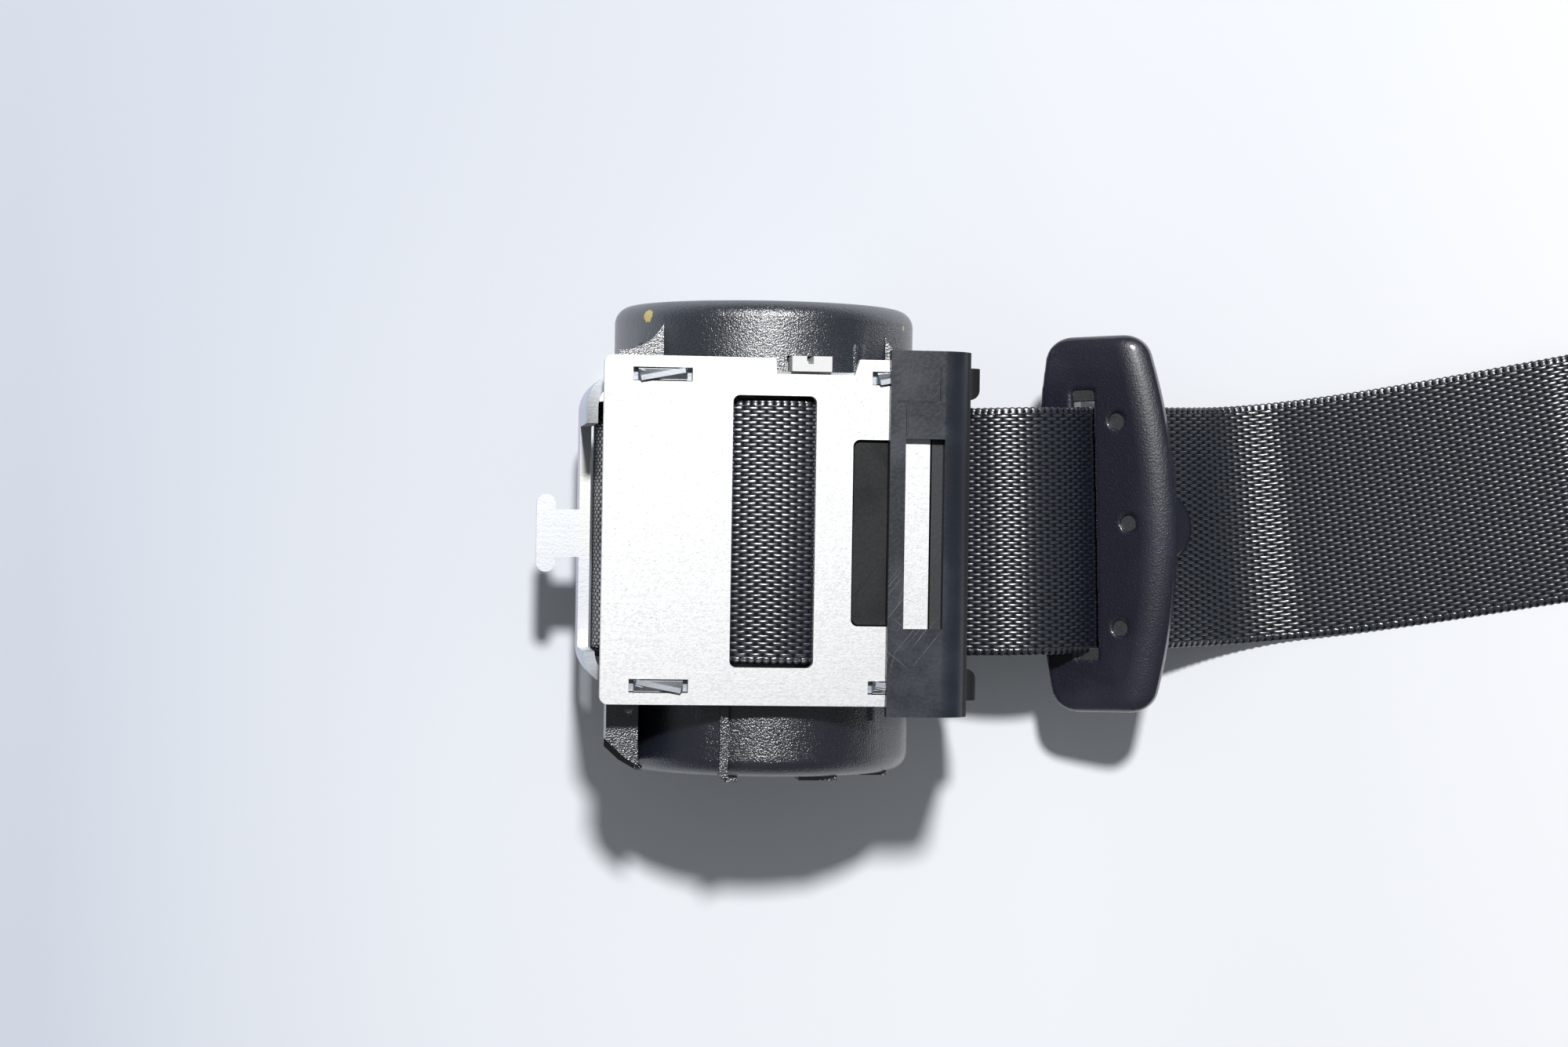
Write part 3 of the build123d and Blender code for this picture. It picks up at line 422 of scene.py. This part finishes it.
def corner_cutter(outline, heights):
    """Prism that slants the corner of the block, from an outline and two heights in millimetres."""
    made = bmesh.new()
    levels = [[made.verts.new((x / 1000, y / 1000, z / 1000)) for x, y in outline] for z in heights]
    for k in range(len(outline)):
        n = (k + 1) % len(outline)
        made.faces.new((levels[0][k], levels[0][n], levels[1][n], levels[1][k]))
    made.faces.new(levels[0])
    made.faces.new(levels[1])
    bmesh.ops.recalc_face_normals(made, faces=made.faces)
    mesh = bpy.data.meshes.new("corner_cutter")
    made.to_mesh(mesh)
    made.free()
    return shape_object("corner_cutter", mesh)


upper_facet = ((-81.5, -35.2), (-78.7, -37.7), (-75.1, -41.0), (-71.6, -42.9), (-71.6, -47.0), (-81.5, -47.0))
lower_facet = ((-83.0, -35.4), (-79.5, -38.6), (-75.9, -41.9), (-71.5, -44.4), (-71.5, -48.0), (-83.0, -48.0))
softened(
    "lock_cover", "lock_cap", 0.0003, "retractor", cover_black, lean_corner,
    (corner_cutter(lower_facet, (10.0, 62.0)), corner_cutter(upper_facet, (46.8, 63.0))),
)


def narrowed(made):
    """Keeps the sensor's housing clear of the leaning wall."""
    block_from, corner_y, corner_left, wall_left = -0.0760, -0.0415, -0.0744, -0.0765
    for vert in made.verts:
        if vert.co.x < block_from:
            vert.co.x = corner_left if vert.co.y < corner_y else wall_left


softened(
    "sensor_housing", "ball_housing", 0.0001, "retractor", milk_white, narrowed
)
for name in (
    "spring_base", "spool_bushes", "lock_gear", "sensor_lever", "spring_arbor",
    "spring_cover_pins", "lock_cover_pins",
):
    milk_white.wear(parts[name])


# Belt guide: black moulding hooked over the tie plate, handled and scuffed, with scratches beside its
# window and three raised lines that the mould's inserts leave on its top.
guide_top = 0.0689


def scuffed_finish(name, base, scratch):
    plastic = Finish(name, roughness=0.34, ior=1.5, specular_ior_level=0.6)
    where = plastic.place()
    grain = plastic.noise(where, 1600, 2.0, 0.5)
    cloud = plastic.noise(where, 80, 3.0)
    marks = 0.0
    for turn, reach in ((0.9, 0.66), (-0.7, 0.70), (1.3, 0.69)):
        lines = plastic.add(
            "ShaderNodeMapping", {"vector_type": "TEXTURE"},
            {"Vector": plastic.place(), "Rotation": (0, 0, turn), "Scale": (0.016, 0.00040, 0.005)},
        )
        drawn = plastic.noise(lines, 1.0, 1.0).above(reach, 0.03)
        marks = drawn + marks
    rubbed_at = plastic.add(
        "ShaderNodeVectorMath", {"operation": "DISTANCE"}, [where, (-0.0300, -0.016, 0.0689)], output="Value"
    )
    patch = 1.0 - (rubbed_at + cloud * 0.008).above(0.012, 0.005)
    marks = (marks * patch).maths("MINIMUM", 1.0)
    rubbed = cloud.above(0.55, 0.12)
    colour = plastic.mix(rubbed * 0.45, base, tuple(c * 2.0 for c in base))
    colour = plastic.mix(marks * 0.55, colour, scratch)
    # Painted shade: everything more than 2.2 mm below the guide's top is darkened to about an eighth of its
    # colour.
    painted_shade_below_top = 1.0 - plastic.add("ShaderNodeSeparateXYZ", {}, [where], output=2).above(guide_top - 0.0022, 0.0004)
    colour = plastic.mix(painted_shade_below_top * 0.95, colour, tuple(c * 0.12 for c in base))
    plastic.set(
        base_color=colour,
        roughness=0.33 + (grain - 0.5) * 0.2 + rubbed * 0.10 + marks * 0.1 + painted_shade_below_top * 0.35,
        normal=plastic.bump(grain, 0.00003, 0.6, plastic.bump(marks, 0.00003, 0.8)),
    )
    return plastic


guide_black = scuffed_finish("guide_black", (0.015, 0.019, 0.028), (0.13, 0.14, 0.16))
softened("belt_guide", "guide_moulding", 0.00028, "retractor", guide_black)


def raised_lines():
    """Thin raised lines on the guide's top, each a low ridge with sloping sides."""
    made = bmesh.new()
    for x0, y0, x1, y1 in (
        (-0.02114, 0.0236, -0.02114, 0.0296), (-0.0289, 0.0234, -0.02195, 0.0234),
        (-0.0271, 0.0174, -0.0271, 0.0221),
    ):
        start, end = Vector((x0, y0, guide_top)), Vector((x1, y1, guide_top))
        side = (end - start).cross(Vector((0, 0, 1))).normalized()
        section = ((-0.00022, -0.0001), (-0.00011, 0.00014), (0.00011, 0.00014), (0.00022, -0.0001))
        ends = [[made.verts.new(p + side * a + Vector((0, 0, b))) for a, b in section] for p in (start, end)]
        for j in range(4):
            n = (j + 1) % 4
            made.faces.new((ends[0][j], ends[0][n], ends[1][n], ends[1][j]))
        made.faces.new(ends[0])
        made.faces.new(ends[1])
    bmesh.ops.recalc_face_normals(made, faces=made.faces)
    mesh = bpy.data.meshes.new("mould_lines")
    made.to_mesh(mesh)
    made.free()
    piece = shape_object("mould_lines", mesh)
    guide_black.wear(piece)
    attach(piece, "retractor")


raised_lines()


# Tongue: steel plate in a black overmould with a leather grain, slot and core-pin holes. Two halves of
# a stop button are pressed together through the webbing below it.
tongue_black = moulded_finish(
    "tongue_black", (0.0085, 0.0095, 0.021), (0.032, 0.035, 0.056), 2800, 0.00010, 0.40, 0.3, 0.5, 1.5, 0.75
)
blade_steel = zinc_finish("blade_steel", (0.24, 0.245, 0.26), (0.10, 0.10, 0.11), 0.36, 0.4)
grip_turn, grip_lean = radians(2.0), radians(32.0)
grip_frame = Matrix.Translation((0.01555, 0.00224, 0.0250)) @ Matrix((
    (cos(grip_lean) * cos(grip_turn), -sin(grip_turn), -sin(grip_lean) * cos(grip_turn)),
    (cos(grip_lean) * sin(grip_turn), cos(grip_turn), -sin(grip_lean) * sin(grip_turn)),
    (sin(grip_lean), 0, cos(grip_lean)),
)).to_4x4()


def rim_cutter():
    """Block above the face of the grip, which takes the step off before the rim is rolled over."""
    made = bmesh.new()
    bmesh.ops.create_cube(made, size=1.0)
    for vert in made.verts:
        vert.co = grip_frame @ Vector((
            0.0079 if vert.co.x < 0 else 0.0200, vert.co.y * 0.090, 0.0022 if vert.co.z < 0 else 0.0080
        ))
    mesh = bpy.data.meshes.new("rim_cutter")
    made.to_mesh(mesh)
    made.free()
    return shape_object("rim_cutter", mesh)


def rolled(into, reach, radius):
    """Drop of a rolled rim at a distance into it."""
    inside = min(max(into, 0.0), reach)
    return radius - (radius ** 2 - inside ** 2) ** 0.5


def soft_grip():
    """Copy of the overmould with a dense skin, whose outer edge rolls over in one broad curve."""
    made = bmesh.new()
    made.from_mesh(parts["tongue_cover"].data)
    bmesh.ops.remove_doubles(made, verts=made.verts, dist=0.000002)
    mesh = bpy.data.meshes.new("grip_blank")
    made.to_mesh(mesh)
    made.free()
    blank = shape_object("grip_blank", mesh)
    cutter = rim_cutter()
    cut = blank.modifiers.new("cut", "BOOLEAN")
    cut.object = cutter
    cut.solver = "EXACT"
    skin = blank.modifiers.new("skin", "REMESH")
    skin.mode = "VOXEL"
    skin.voxel_size = 0.00034
    bpy.context.view_layer.update()
    evaluated = blank.evaluated_get(bpy.context.evaluated_depsgraph_get())
    mesh = bpy.data.meshes.new_from_object(evaluated)
    bpy.data.objects.remove(blank)
    bpy.data.objects.remove(cutter)
    made = bmesh.new()
    made.from_mesh(mesh)
    to_grip = grip_frame.inverted()
    half_length, edge_at, bow, back_at = 0.03615, 0.0172, 0.0056, -0.0091
    rim_foot, rim_height = -0.0012, 0.0034
    for vert in made.verts:
        x, y, z = to_grip @ vert.co
        edge = edge_at - bow * (y / half_length) ** 2
        drop = rolled(0.0057 - (edge - x), 0.0056, 0.0084)
        drop += 0.6 * rolled(0.0026 - (half_length - abs(y)), 0.0026, 0.0027)
        drop += 0.5 * rolled(0.0016 - (x - back_at), 0.0016, 0.0017)
        share = min(max((z - rim_foot) / rim_height, 0.0), 1.0)
        vert.co = grip_frame @ Vector((x, y, z - drop * share))
    smoothing_passes = 5
    for k in range(smoothing_passes):
        bmesh.ops.smooth_vert(
            made, verts=made.verts, factor=0.5, use_axis_x=True, use_axis_y=True, use_axis_z=True
        )
    for face in made.faces:
        face.smooth = True
    made.to_mesh(mesh)
    made.free()
    mesh.name = "tongue_grip"
    piece = shape_object("tongue_grip", mesh)
    tongue_black.wear(piece)
    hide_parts("tongue_cover")
    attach(piece, "tongue")
    print("grip", len(mesh.vertices))


soft_grip()


def shorter_slot(made):
    """Steel that shows in both ends of the overmould's slot."""
    slot_end, slot_end_far, slot_half, shrink = 0.0245, 0.0262, 0.0040, 0.936
    to_grip = grip_frame.inverted()
    for vert in made.verts:
        x, y, z = to_grip @ vert.co
        if slot_end < abs(y) < slot_end_far and abs(x) < slot_half:
            vert.co = grip_frame @ Vector((x, y * shrink, z))


softened("tongue_blade", "tongue_plate", 0.00015, "tongue", blade_steel, shorter_slot)
for name in ("stop_button_front", "stop_button_back"):
    tongue_black.wear(parts[name])


# Webbing: polyester strap 47 mm wide with folded selvedges. It comes off the roll, bends over the
# guide's nose, passes the tongue and the stop button, and ends in a hank with a sewn loop.
def heading(u):
    """Heading over the floor: a small turn at the mouth, a straight run, then a turn that eases out."""
    leave_at, leave_in, leave_turn = 0.039, 0.006, 2.0
    turn_at, turn_in, full_turn = 0.088, 0.062, 9.5
    leaving = min(max((u - leave_at) / leave_in, 0), 1)
    turning = min(max((u - turn_at) / turn_in, 0), 1)
    return radians(leave_turn * leaving + full_turn * (1 - (1 - turning) ** 2))


def track(reach, step=0.0005):
    """Places over the floor along the belt's way, at equal steps of distance."""
    places = [Vector((0.039 - 0.049, 0.00045))]
    u = 0.039
    while u < reach:
        turn = heading(u + step / 2)
        places.append(places[-1] + Vector((cos(turn), sin(turn))) * step)
        u += step
    return places


floor_track = track(0.36)


def over_floor(u):
    """Row-frame place and heading of the belt at a distance u from the spool, in metres."""
    if u <= 0.039:
        return Vector((u - 0.049, 0.00045)), 0.0
    k = (u - 0.039) / 0.0005
    first = floor_track[int(k)]
    last = floor_track[min(int(k) + 1, len(floor_track) - 1)]
    turn = heading(min(u, 0.172))
    return first.lerp(last, k - int(k)), turn


def rounded(points, radii, step):
    """Points along a run of straight lines whose corners are rounded, as distance and height."""
    line = [Vector(points[0])]
    for k in range(1, len(points) - 1):
        before, here, after = (Vector(p) for p in points[k - 1 : k + 2])
        back, forth = (before - here).normalized(), (after - here).normalized()
        half = back.angle(forth) / 2
        bisector = (back + forth).normalized()
        centre = here + bisector * (radii[k - 1] / sin(half))
        start = here + back * (radii[k - 1] / tan(half))
        end = here + forth * (radii[k - 1] / tan(half))
        sweep = (start - centre).angle_signed(end - centre)
        pieces = max(3, int(abs(sweep) * radii[k - 1] / step) + 1)
        for j in range(pieces + 1):
            turn = Matrix.Rotation(-sweep * j / pieces, 2)
            line.append(centre + turn @ (start - centre))
    line.append(Vector(points[-1]))
    spaced = [line[0]]
    for first, last in zip(line, line[1:]):
        gap = (last - first).length
        pieces = max(1, int(gap / step))
        for j in range(1, pieces + 1):
            if gap > 1e-7:
                spaced.append(first.lerp(last, j / pieces))
    return spaced


hank_top = 0.0015 + 0.0065 * 4
run_points = [
    (0.03073, 0.04378), (0.0350, 0.0276), (0.0530, 0.0338), (0.0646, 0.0253), (0.0793, 0.0181),
    (0.0990, 0.0088), (0.1620, 0.0348), (0.184, hank_top),
]
run_radii = [0.003, 0.018, 0.012, 0.060, 0.024, 0.014]
hank_points = []
for layer in range(4):
    height = hank_top - layer * 0.0065
    far = 0.247 if layer % 2 == 0 else 0.176
    hank_points += [(far, height), (far, height - 0.0065)]
loop_reach = 0.2625 + 0.0054 + 0.0016
hank_points += [
    (loop_reach, 0.0015), (loop_reach, 0.0064), (loop_reach - 0.010, 0.0064), (loop_reach - 0.019, 0.00276),
    (loop_reach - 0.043, 0.00276),
]
fold = 0.00324
belt_line = rounded(
    run_points + hank_points, run_radii + [0.020] + [fold] * 8 + [0.0023, 0.0023, 0.008, 0.008], 0.00138 / 2
)


def strap(name, line, half_width, thick, place_of, finish):
    """Closed strap along a line of distance and height, with thinner rounded edges and a weave map."""
    profile = []
    for share in (-1.0, -0.985, -0.93, -0.8, -0.4, 0.0, 0.4, 0.8, 0.93, 0.985, 1.0):
        rim = 1 - abs(share)
        body = 0.32 if rim < 0.001 else (0.62 if rim < 0.02 else (0.82 if rim < 0.08 else 1.0))
        profile.append((share * half_width, body * thick / 2))
    ring = [(y, z) for y, z in profile] + [(y, -z) for y, z in reversed(profile)]
    mesh = bpy.data.meshes.new(name)
    made = bmesh.new()
    weave = made.loops.layers.uv.new("weave")
    rings = []
    run = 0.0
    for k, point in enumerate(line):
        before, after = line[max(k - 1, 0)], line[min(k + 1, len(line) - 1)]
        if k:
            run += (point - line[k - 1]).length
        slope = (after - before).normalized()
        ground, turn = place_of(point.x)
        side = Vector((-sin(turn), cos(turn), 0))
        upward = Vector((-slope.y * cos(turn), -slope.y * sin(turn), slope.x))
        middle = Vector((ground.x, ground.y, point.y))
        scallop = 0.00011 * (1 if k % 2 else -1)
        verts = []
        for y, z in ring:
            out = y + (scallop if abs(y) > half_width * 0.98 else 0) * (1 if y > 0 else -1)
            verts.append(made.verts.new(middle + side * out + upward * z))
        rings.append((run, verts))
    count = len(ring)
    for (u0, first), (u1, last) in zip(rings, rings[1:]):
        for j in range(count):
            n = (j + 1) % count
            face = made.faces.new((first[j], last[j], last[n], first[n]))
            face.smooth = True
            for loop, (u, k) in zip(face.loops, ((u0, j), (u1, j), (u1, n), (u0, n))):
                loop[weave].uv = (u * 1000, ring[k][0] * 1000)
    for end in (rings[0], rings[-1]):
        face = made.faces.new(end[1])
        for loop in face.loops:
            loop[weave].uv = (end[0] * 1000, 0)
    bmesh.ops.recalc_face_normals(made, faces=made.faces)
    made.to_mesh(mesh)
    made.free()
    piece = shape_object(name, mesh)
    finish.wear(piece)
    return piece


belt = strap("strap", belt_line, belt_half, belt_thick, over_floor, webbing)
belt_length = sum((b - a).length for a, b in zip(belt_line, belt_line[1:]))
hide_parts("belt_run", "belt_hank")
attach(belt, "retractor")
print("belt length", round(belt_length, 4))


# Stitches: rows of bonded polyester thread through both layers where the webbing is sewn back on itself
# round the anchor plate. One stitch is repeated over a grid and set on the sewn tail.
def stitch_field(rows, per_row, row_gap, stitch_gap, finish):
    tree = bpy.data.node_groups.new("stitches", "GeometryNodeTree")
    tree.interface.new_socket("Geometry", in_out="OUTPUT", socket_type="NodeSocketGeometry")
    sizes = {}
    for label, kind, value in (
        ("Rows", "NodeSocketInt", rows), ("Stitches in a row", "NodeSocketInt", per_row),
        ("Row gap", "NodeSocketFloat", row_gap), ("Stitch gap", "NodeSocketFloat", stitch_gap),
    ):
        socket = tree.interface.new_socket(label, in_out="INPUT", socket_type=kind)
        sizes[socket.identifier] = value
    entry = tree.nodes.new("NodeGroupInput")
    leave = tree.nodes.new("NodeGroupOutput")
    grid = tree.nodes.new("GeometryNodeMeshGrid")
    spans = []
    for count, gap in ((1, 3), (0, 2)):
        less = tree.nodes.new("ShaderNodeMath")
        less.operation = "SUBTRACT"
        less.inputs[1].default_value = 1
        tree.links.new(entry.outputs[count], less.inputs[0])
        span = tree.nodes.new("ShaderNodeMath")
        span.operation = "MULTIPLY"
        tree.links.new(less.outputs[0], span.inputs[0])
        tree.links.new(entry.outputs[gap], span.inputs[1])
        spans.append(span)
    tree.links.new(spans[0].outputs[0], grid.inputs["Size X"])
    tree.links.new(spans[1].outputs[0], grid.inputs["Size Y"])
    tree.links.new(entry.outputs[1], grid.inputs["Vertices X"])
    tree.links.new(entry.outputs[0], grid.inputs["Vertices Y"])
    stitch = tree.nodes.new("GeometryNodeMeshIcoSphere")
    stitch.inputs["Radius"].default_value = 1.0
    stitch.inputs["Subdivisions"].default_value = 2
    spread = tree.nodes.new("GeometryNodeInstanceOnPoints")
    spread.inputs["Scale"].default_value = (0.00118, 0.00030, 0.00022)
    tree.links.new(grid.outputs["Mesh"], spread.inputs["Points"])
    tree.links.new(stitch.outputs["Mesh"], spread.inputs["Instance"])
    real = tree.nodes.new("GeometryNodeRealizeInstances")
    paint = tree.nodes.new("GeometryNodeSetMaterial")
    paint.inputs["Material"].default_value = finish.material
    tree.links.new(spread.outputs[0], real.inputs[0])
    tree.links.new(real.outputs[0], paint.inputs[0])
    tree.links.new(paint.outputs[0], leave.inputs[0])
    blank = shape_object("stitch_blank", bpy.data.meshes.new("stitch_blank"))
    sewing = blank.modifiers.new("sewing", "NODES")
    sewing.node_group = tree
    for identifier, value in sizes.items():
        sewing[identifier] = value
    bpy.context.view_layer.update()
    mesh = bpy.data.meshes.new_from_object(blank.evaluated_get(bpy.context.evaluated_depsgraph_get()))
    bpy.data.objects.remove(blank)
    return mesh


thread = Finish("thread", roughness=0.45, specular_ior_level=0.5)
twist = thread.noise(thread.place((900, 5200, 900)), 1.0, 1.0)
thread.set(
    base_color=thread.mix(twist, (0.018, 0.020, 0.026), (0.06, 0.065, 0.075)),
    normal=thread.bump(twist, 0.00004, 0.8),
)
sewn = stitch_field(9, 8, 0.0047, 0.0028, thread)
ground, turn = over_floor(loop_reach - 0.031)
for vert in sewn.vertices:
    x, y = vert.co.x, vert.co.y
    vert.co = (
        ground.x + x * cos(turn) - y * sin(turn), ground.y + x * sin(turn) + y * cos(turn),
        vert.co.z + 0.00336,
    )
stitches = shape_object("stitches", sewn)
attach(stitches, "retractor")


# Anchor plate and band: zinc-plated plate with its bolt hole, and a ribbed elastic band round the hank.
softened("anchor_plate", "lap_anchor", 0.0004, "retractor", tinted_zinc)
band_black = Finish("band_black", roughness=0.62, specular_ior_level=0.4)
waves = band_black.add(
    "ShaderNodeTexWave", {"bands_direction": "X"},
    {"Vector": band_black.place(), "Scale": 420.0, "Distortion": 0.4},
)
ribs = Value(band_black, waves.socket.node.outputs["Fac"])
knit = band_black.noise(band_black.place(), 4200, 2.0)
band_black.set(
    base_color=band_black.mix(ribs * 0.6 + knit * 0.4, (0.010, 0.010, 0.012), (0.035, 0.036, 0.04)),
    normal=band_black.bump(ribs + knit * 0.3, 0.00015, 0.8),
)
band_black.wear(parts["hank_band"])


# Floor and light: pale card under one lamp above the picture's top edge, with weak light all round. The
# card carries painted shade, greyer and bluer at the left, and a painted pool of light towards the bottom
# middle; at the right it curls up close under the webbing.
floor_finish = Finish("pale_card", roughness=0.8, specular_ior_level=0.1)
where = floor_finish.add("ShaderNodeSeparateXYZ", {}, [floor_finish.place()])
below = Value(floor_finish, where.socket.node.outputs[1])
drift = floor_finish.noise(floor_finish.place(), 5.0, 1.0) - 0.5
shade_from, shade_width = -0.185, 0.295
reach = (where + drift * 0.02 - shade_from) / shade_width
# Painted shade greys and blues the left; a painted pool of light brightens the bottom middle.
shaded_left_tone, white_side, light_pool_tone = (0.62, 0.66, 0.74), (0.90, 0.91, 0.94), (0.92, 0.94, 0.97)
nearness = floor_finish.add("ShaderNodeMapRange", {"interpolation_type": "SMOOTHSTEP"}, [below, 0.12, -0.07])
painted_light_pool = nearness * (reach * (1.0 - reach)) * 2.4
sides = floor_finish.mix(reach, shaded_left_tone, white_side)
floor_finish.set(base_color=floor_finish.mix(painted_light_pool, sides, light_pool_tone))
card = bmesh.new()
card_left, card_half, card_edge, card_drop = -3.0, 2.0, 0.1145, 0.0003
curl_start, curl_end, curl_height, curl_slope, curl_steps = 0.015, 0.082, 0.0205, 0.41, 32
profile = [(card_left, -card_drop)]
for k in range(curl_steps + 1):
    t = k / curl_steps
    rise = (3 * t * t - 2 * t ** 3) * curl_height + (t ** 3 - t * t) * curl_slope * (curl_end - curl_start)
    profile.append((curl_start + (curl_end - curl_start) * t, rise - card_drop))
profile.append((card_edge, profile[-1][1] + curl_slope * (card_edge - curl_end)))
rows = [[card.verts.new((x, y, z)) for x, z in profile] for y in (-card_half, card_half)]
for k in range(len(profile) - 1):
    face = card.faces.new((rows[0][k], rows[0][k + 1], rows[1][k + 1], rows[1][k]))
    face.smooth = True
card_mesh = bpy.data.meshes.new("card")
card.to_mesh(card_mesh)
card.free()
floor = shape_object("card", card_mesh)
floor_finish.wear(floor)
bench = bmesh.new()
bmesh.ops.create_grid(bench, x_segments=2, y_segments=2, size=3)
for vert in bench.verts:
    vert.co.z -= 0.0005
bench_mesh = bpy.data.meshes.new("bench")
bench.to_mesh(bench_mesh)
bench.free()
bench_top = shape_object("bench", bench_mesh)
floor_finish.wear(bench_top)

lamp_data = bpy.data.lights.new("key", "AREA")
lamp_data.shape = "DISK"
lamp_data.size = 0.18
lamp_data.energy = 46.5
lamp = bpy.data.objects.new("key", lamp_data)
scene.collection.objects.link(lamp)
aim = Vector((-0.03, 0.0, 0.02))
lamp.location = aim + Vector((-0.05, 0.40, 0.92)).normalized() * 2.2
lamp.rotation_mode = "QUATERNION"
lamp.rotation_quaternion = (lamp.location - aim).to_track_quat("Z", "Y")

world = bpy.data.worlds.new("studio")
scene.world = world
world.use_nodes = True
sky = world.node_tree
background = sky.nodes["Background"]
path = sky.nodes.new("ShaderNodeLightPath")
glossy = sky.nodes.new("ShaderNodeMix")
glossy.inputs[2].default_value = 0.20
glossy.inputs[3].default_value = 0.14
sky.links.new(path.outputs["Is Glossy Ray"], glossy.inputs[0])
seen = sky.nodes.new("ShaderNodeMix")
seen.inputs[3].default_value = 0.9
sky.links.new(path.outputs["Is Camera Ray"], seen.inputs[0])
sky.links.new(glossy.outputs[0], seen.inputs[2])
sky.links.new(seen.outputs[0], background.inputs["Strength"])
background.inputs["Color"].default_value = (0.92, 0.97, 1.0, 1)


# Camera: it looks down on the tie plate from about 0.6 m, a little from the hook's side, and is
# turned by a degree about its own axis, as in the photograph.
camera_lean = radians(6.7)
camera_roll = radians(0.9)
across = Vector((cos(camera_lean), 0, sin(camera_lean)))
away = Vector((-sin(camera_lean), 0, cos(camera_lean)))
sideways = Vector((0, 1, 0))
right = across * cos(camera_roll) + sideways * sin(camera_roll)
up = sideways * cos(camera_roll) - across * sin(camera_roll)
camera_data = bpy.data.cameras.new("camera")
camera_data.lens = 69.46
camera_data.sensor_width = 36
camera = bpy.data.objects.new("camera", camera_data)
scene.collection.objects.link(camera)
camera.matrix_world = (
    Matrix.Translation((-0.1108, 0.0015, 0.5969)) @ Matrix((right, up, away)).transposed().to_4x4()
)
scene.camera = camera
scene.view_settings.view_transform = "Standard"
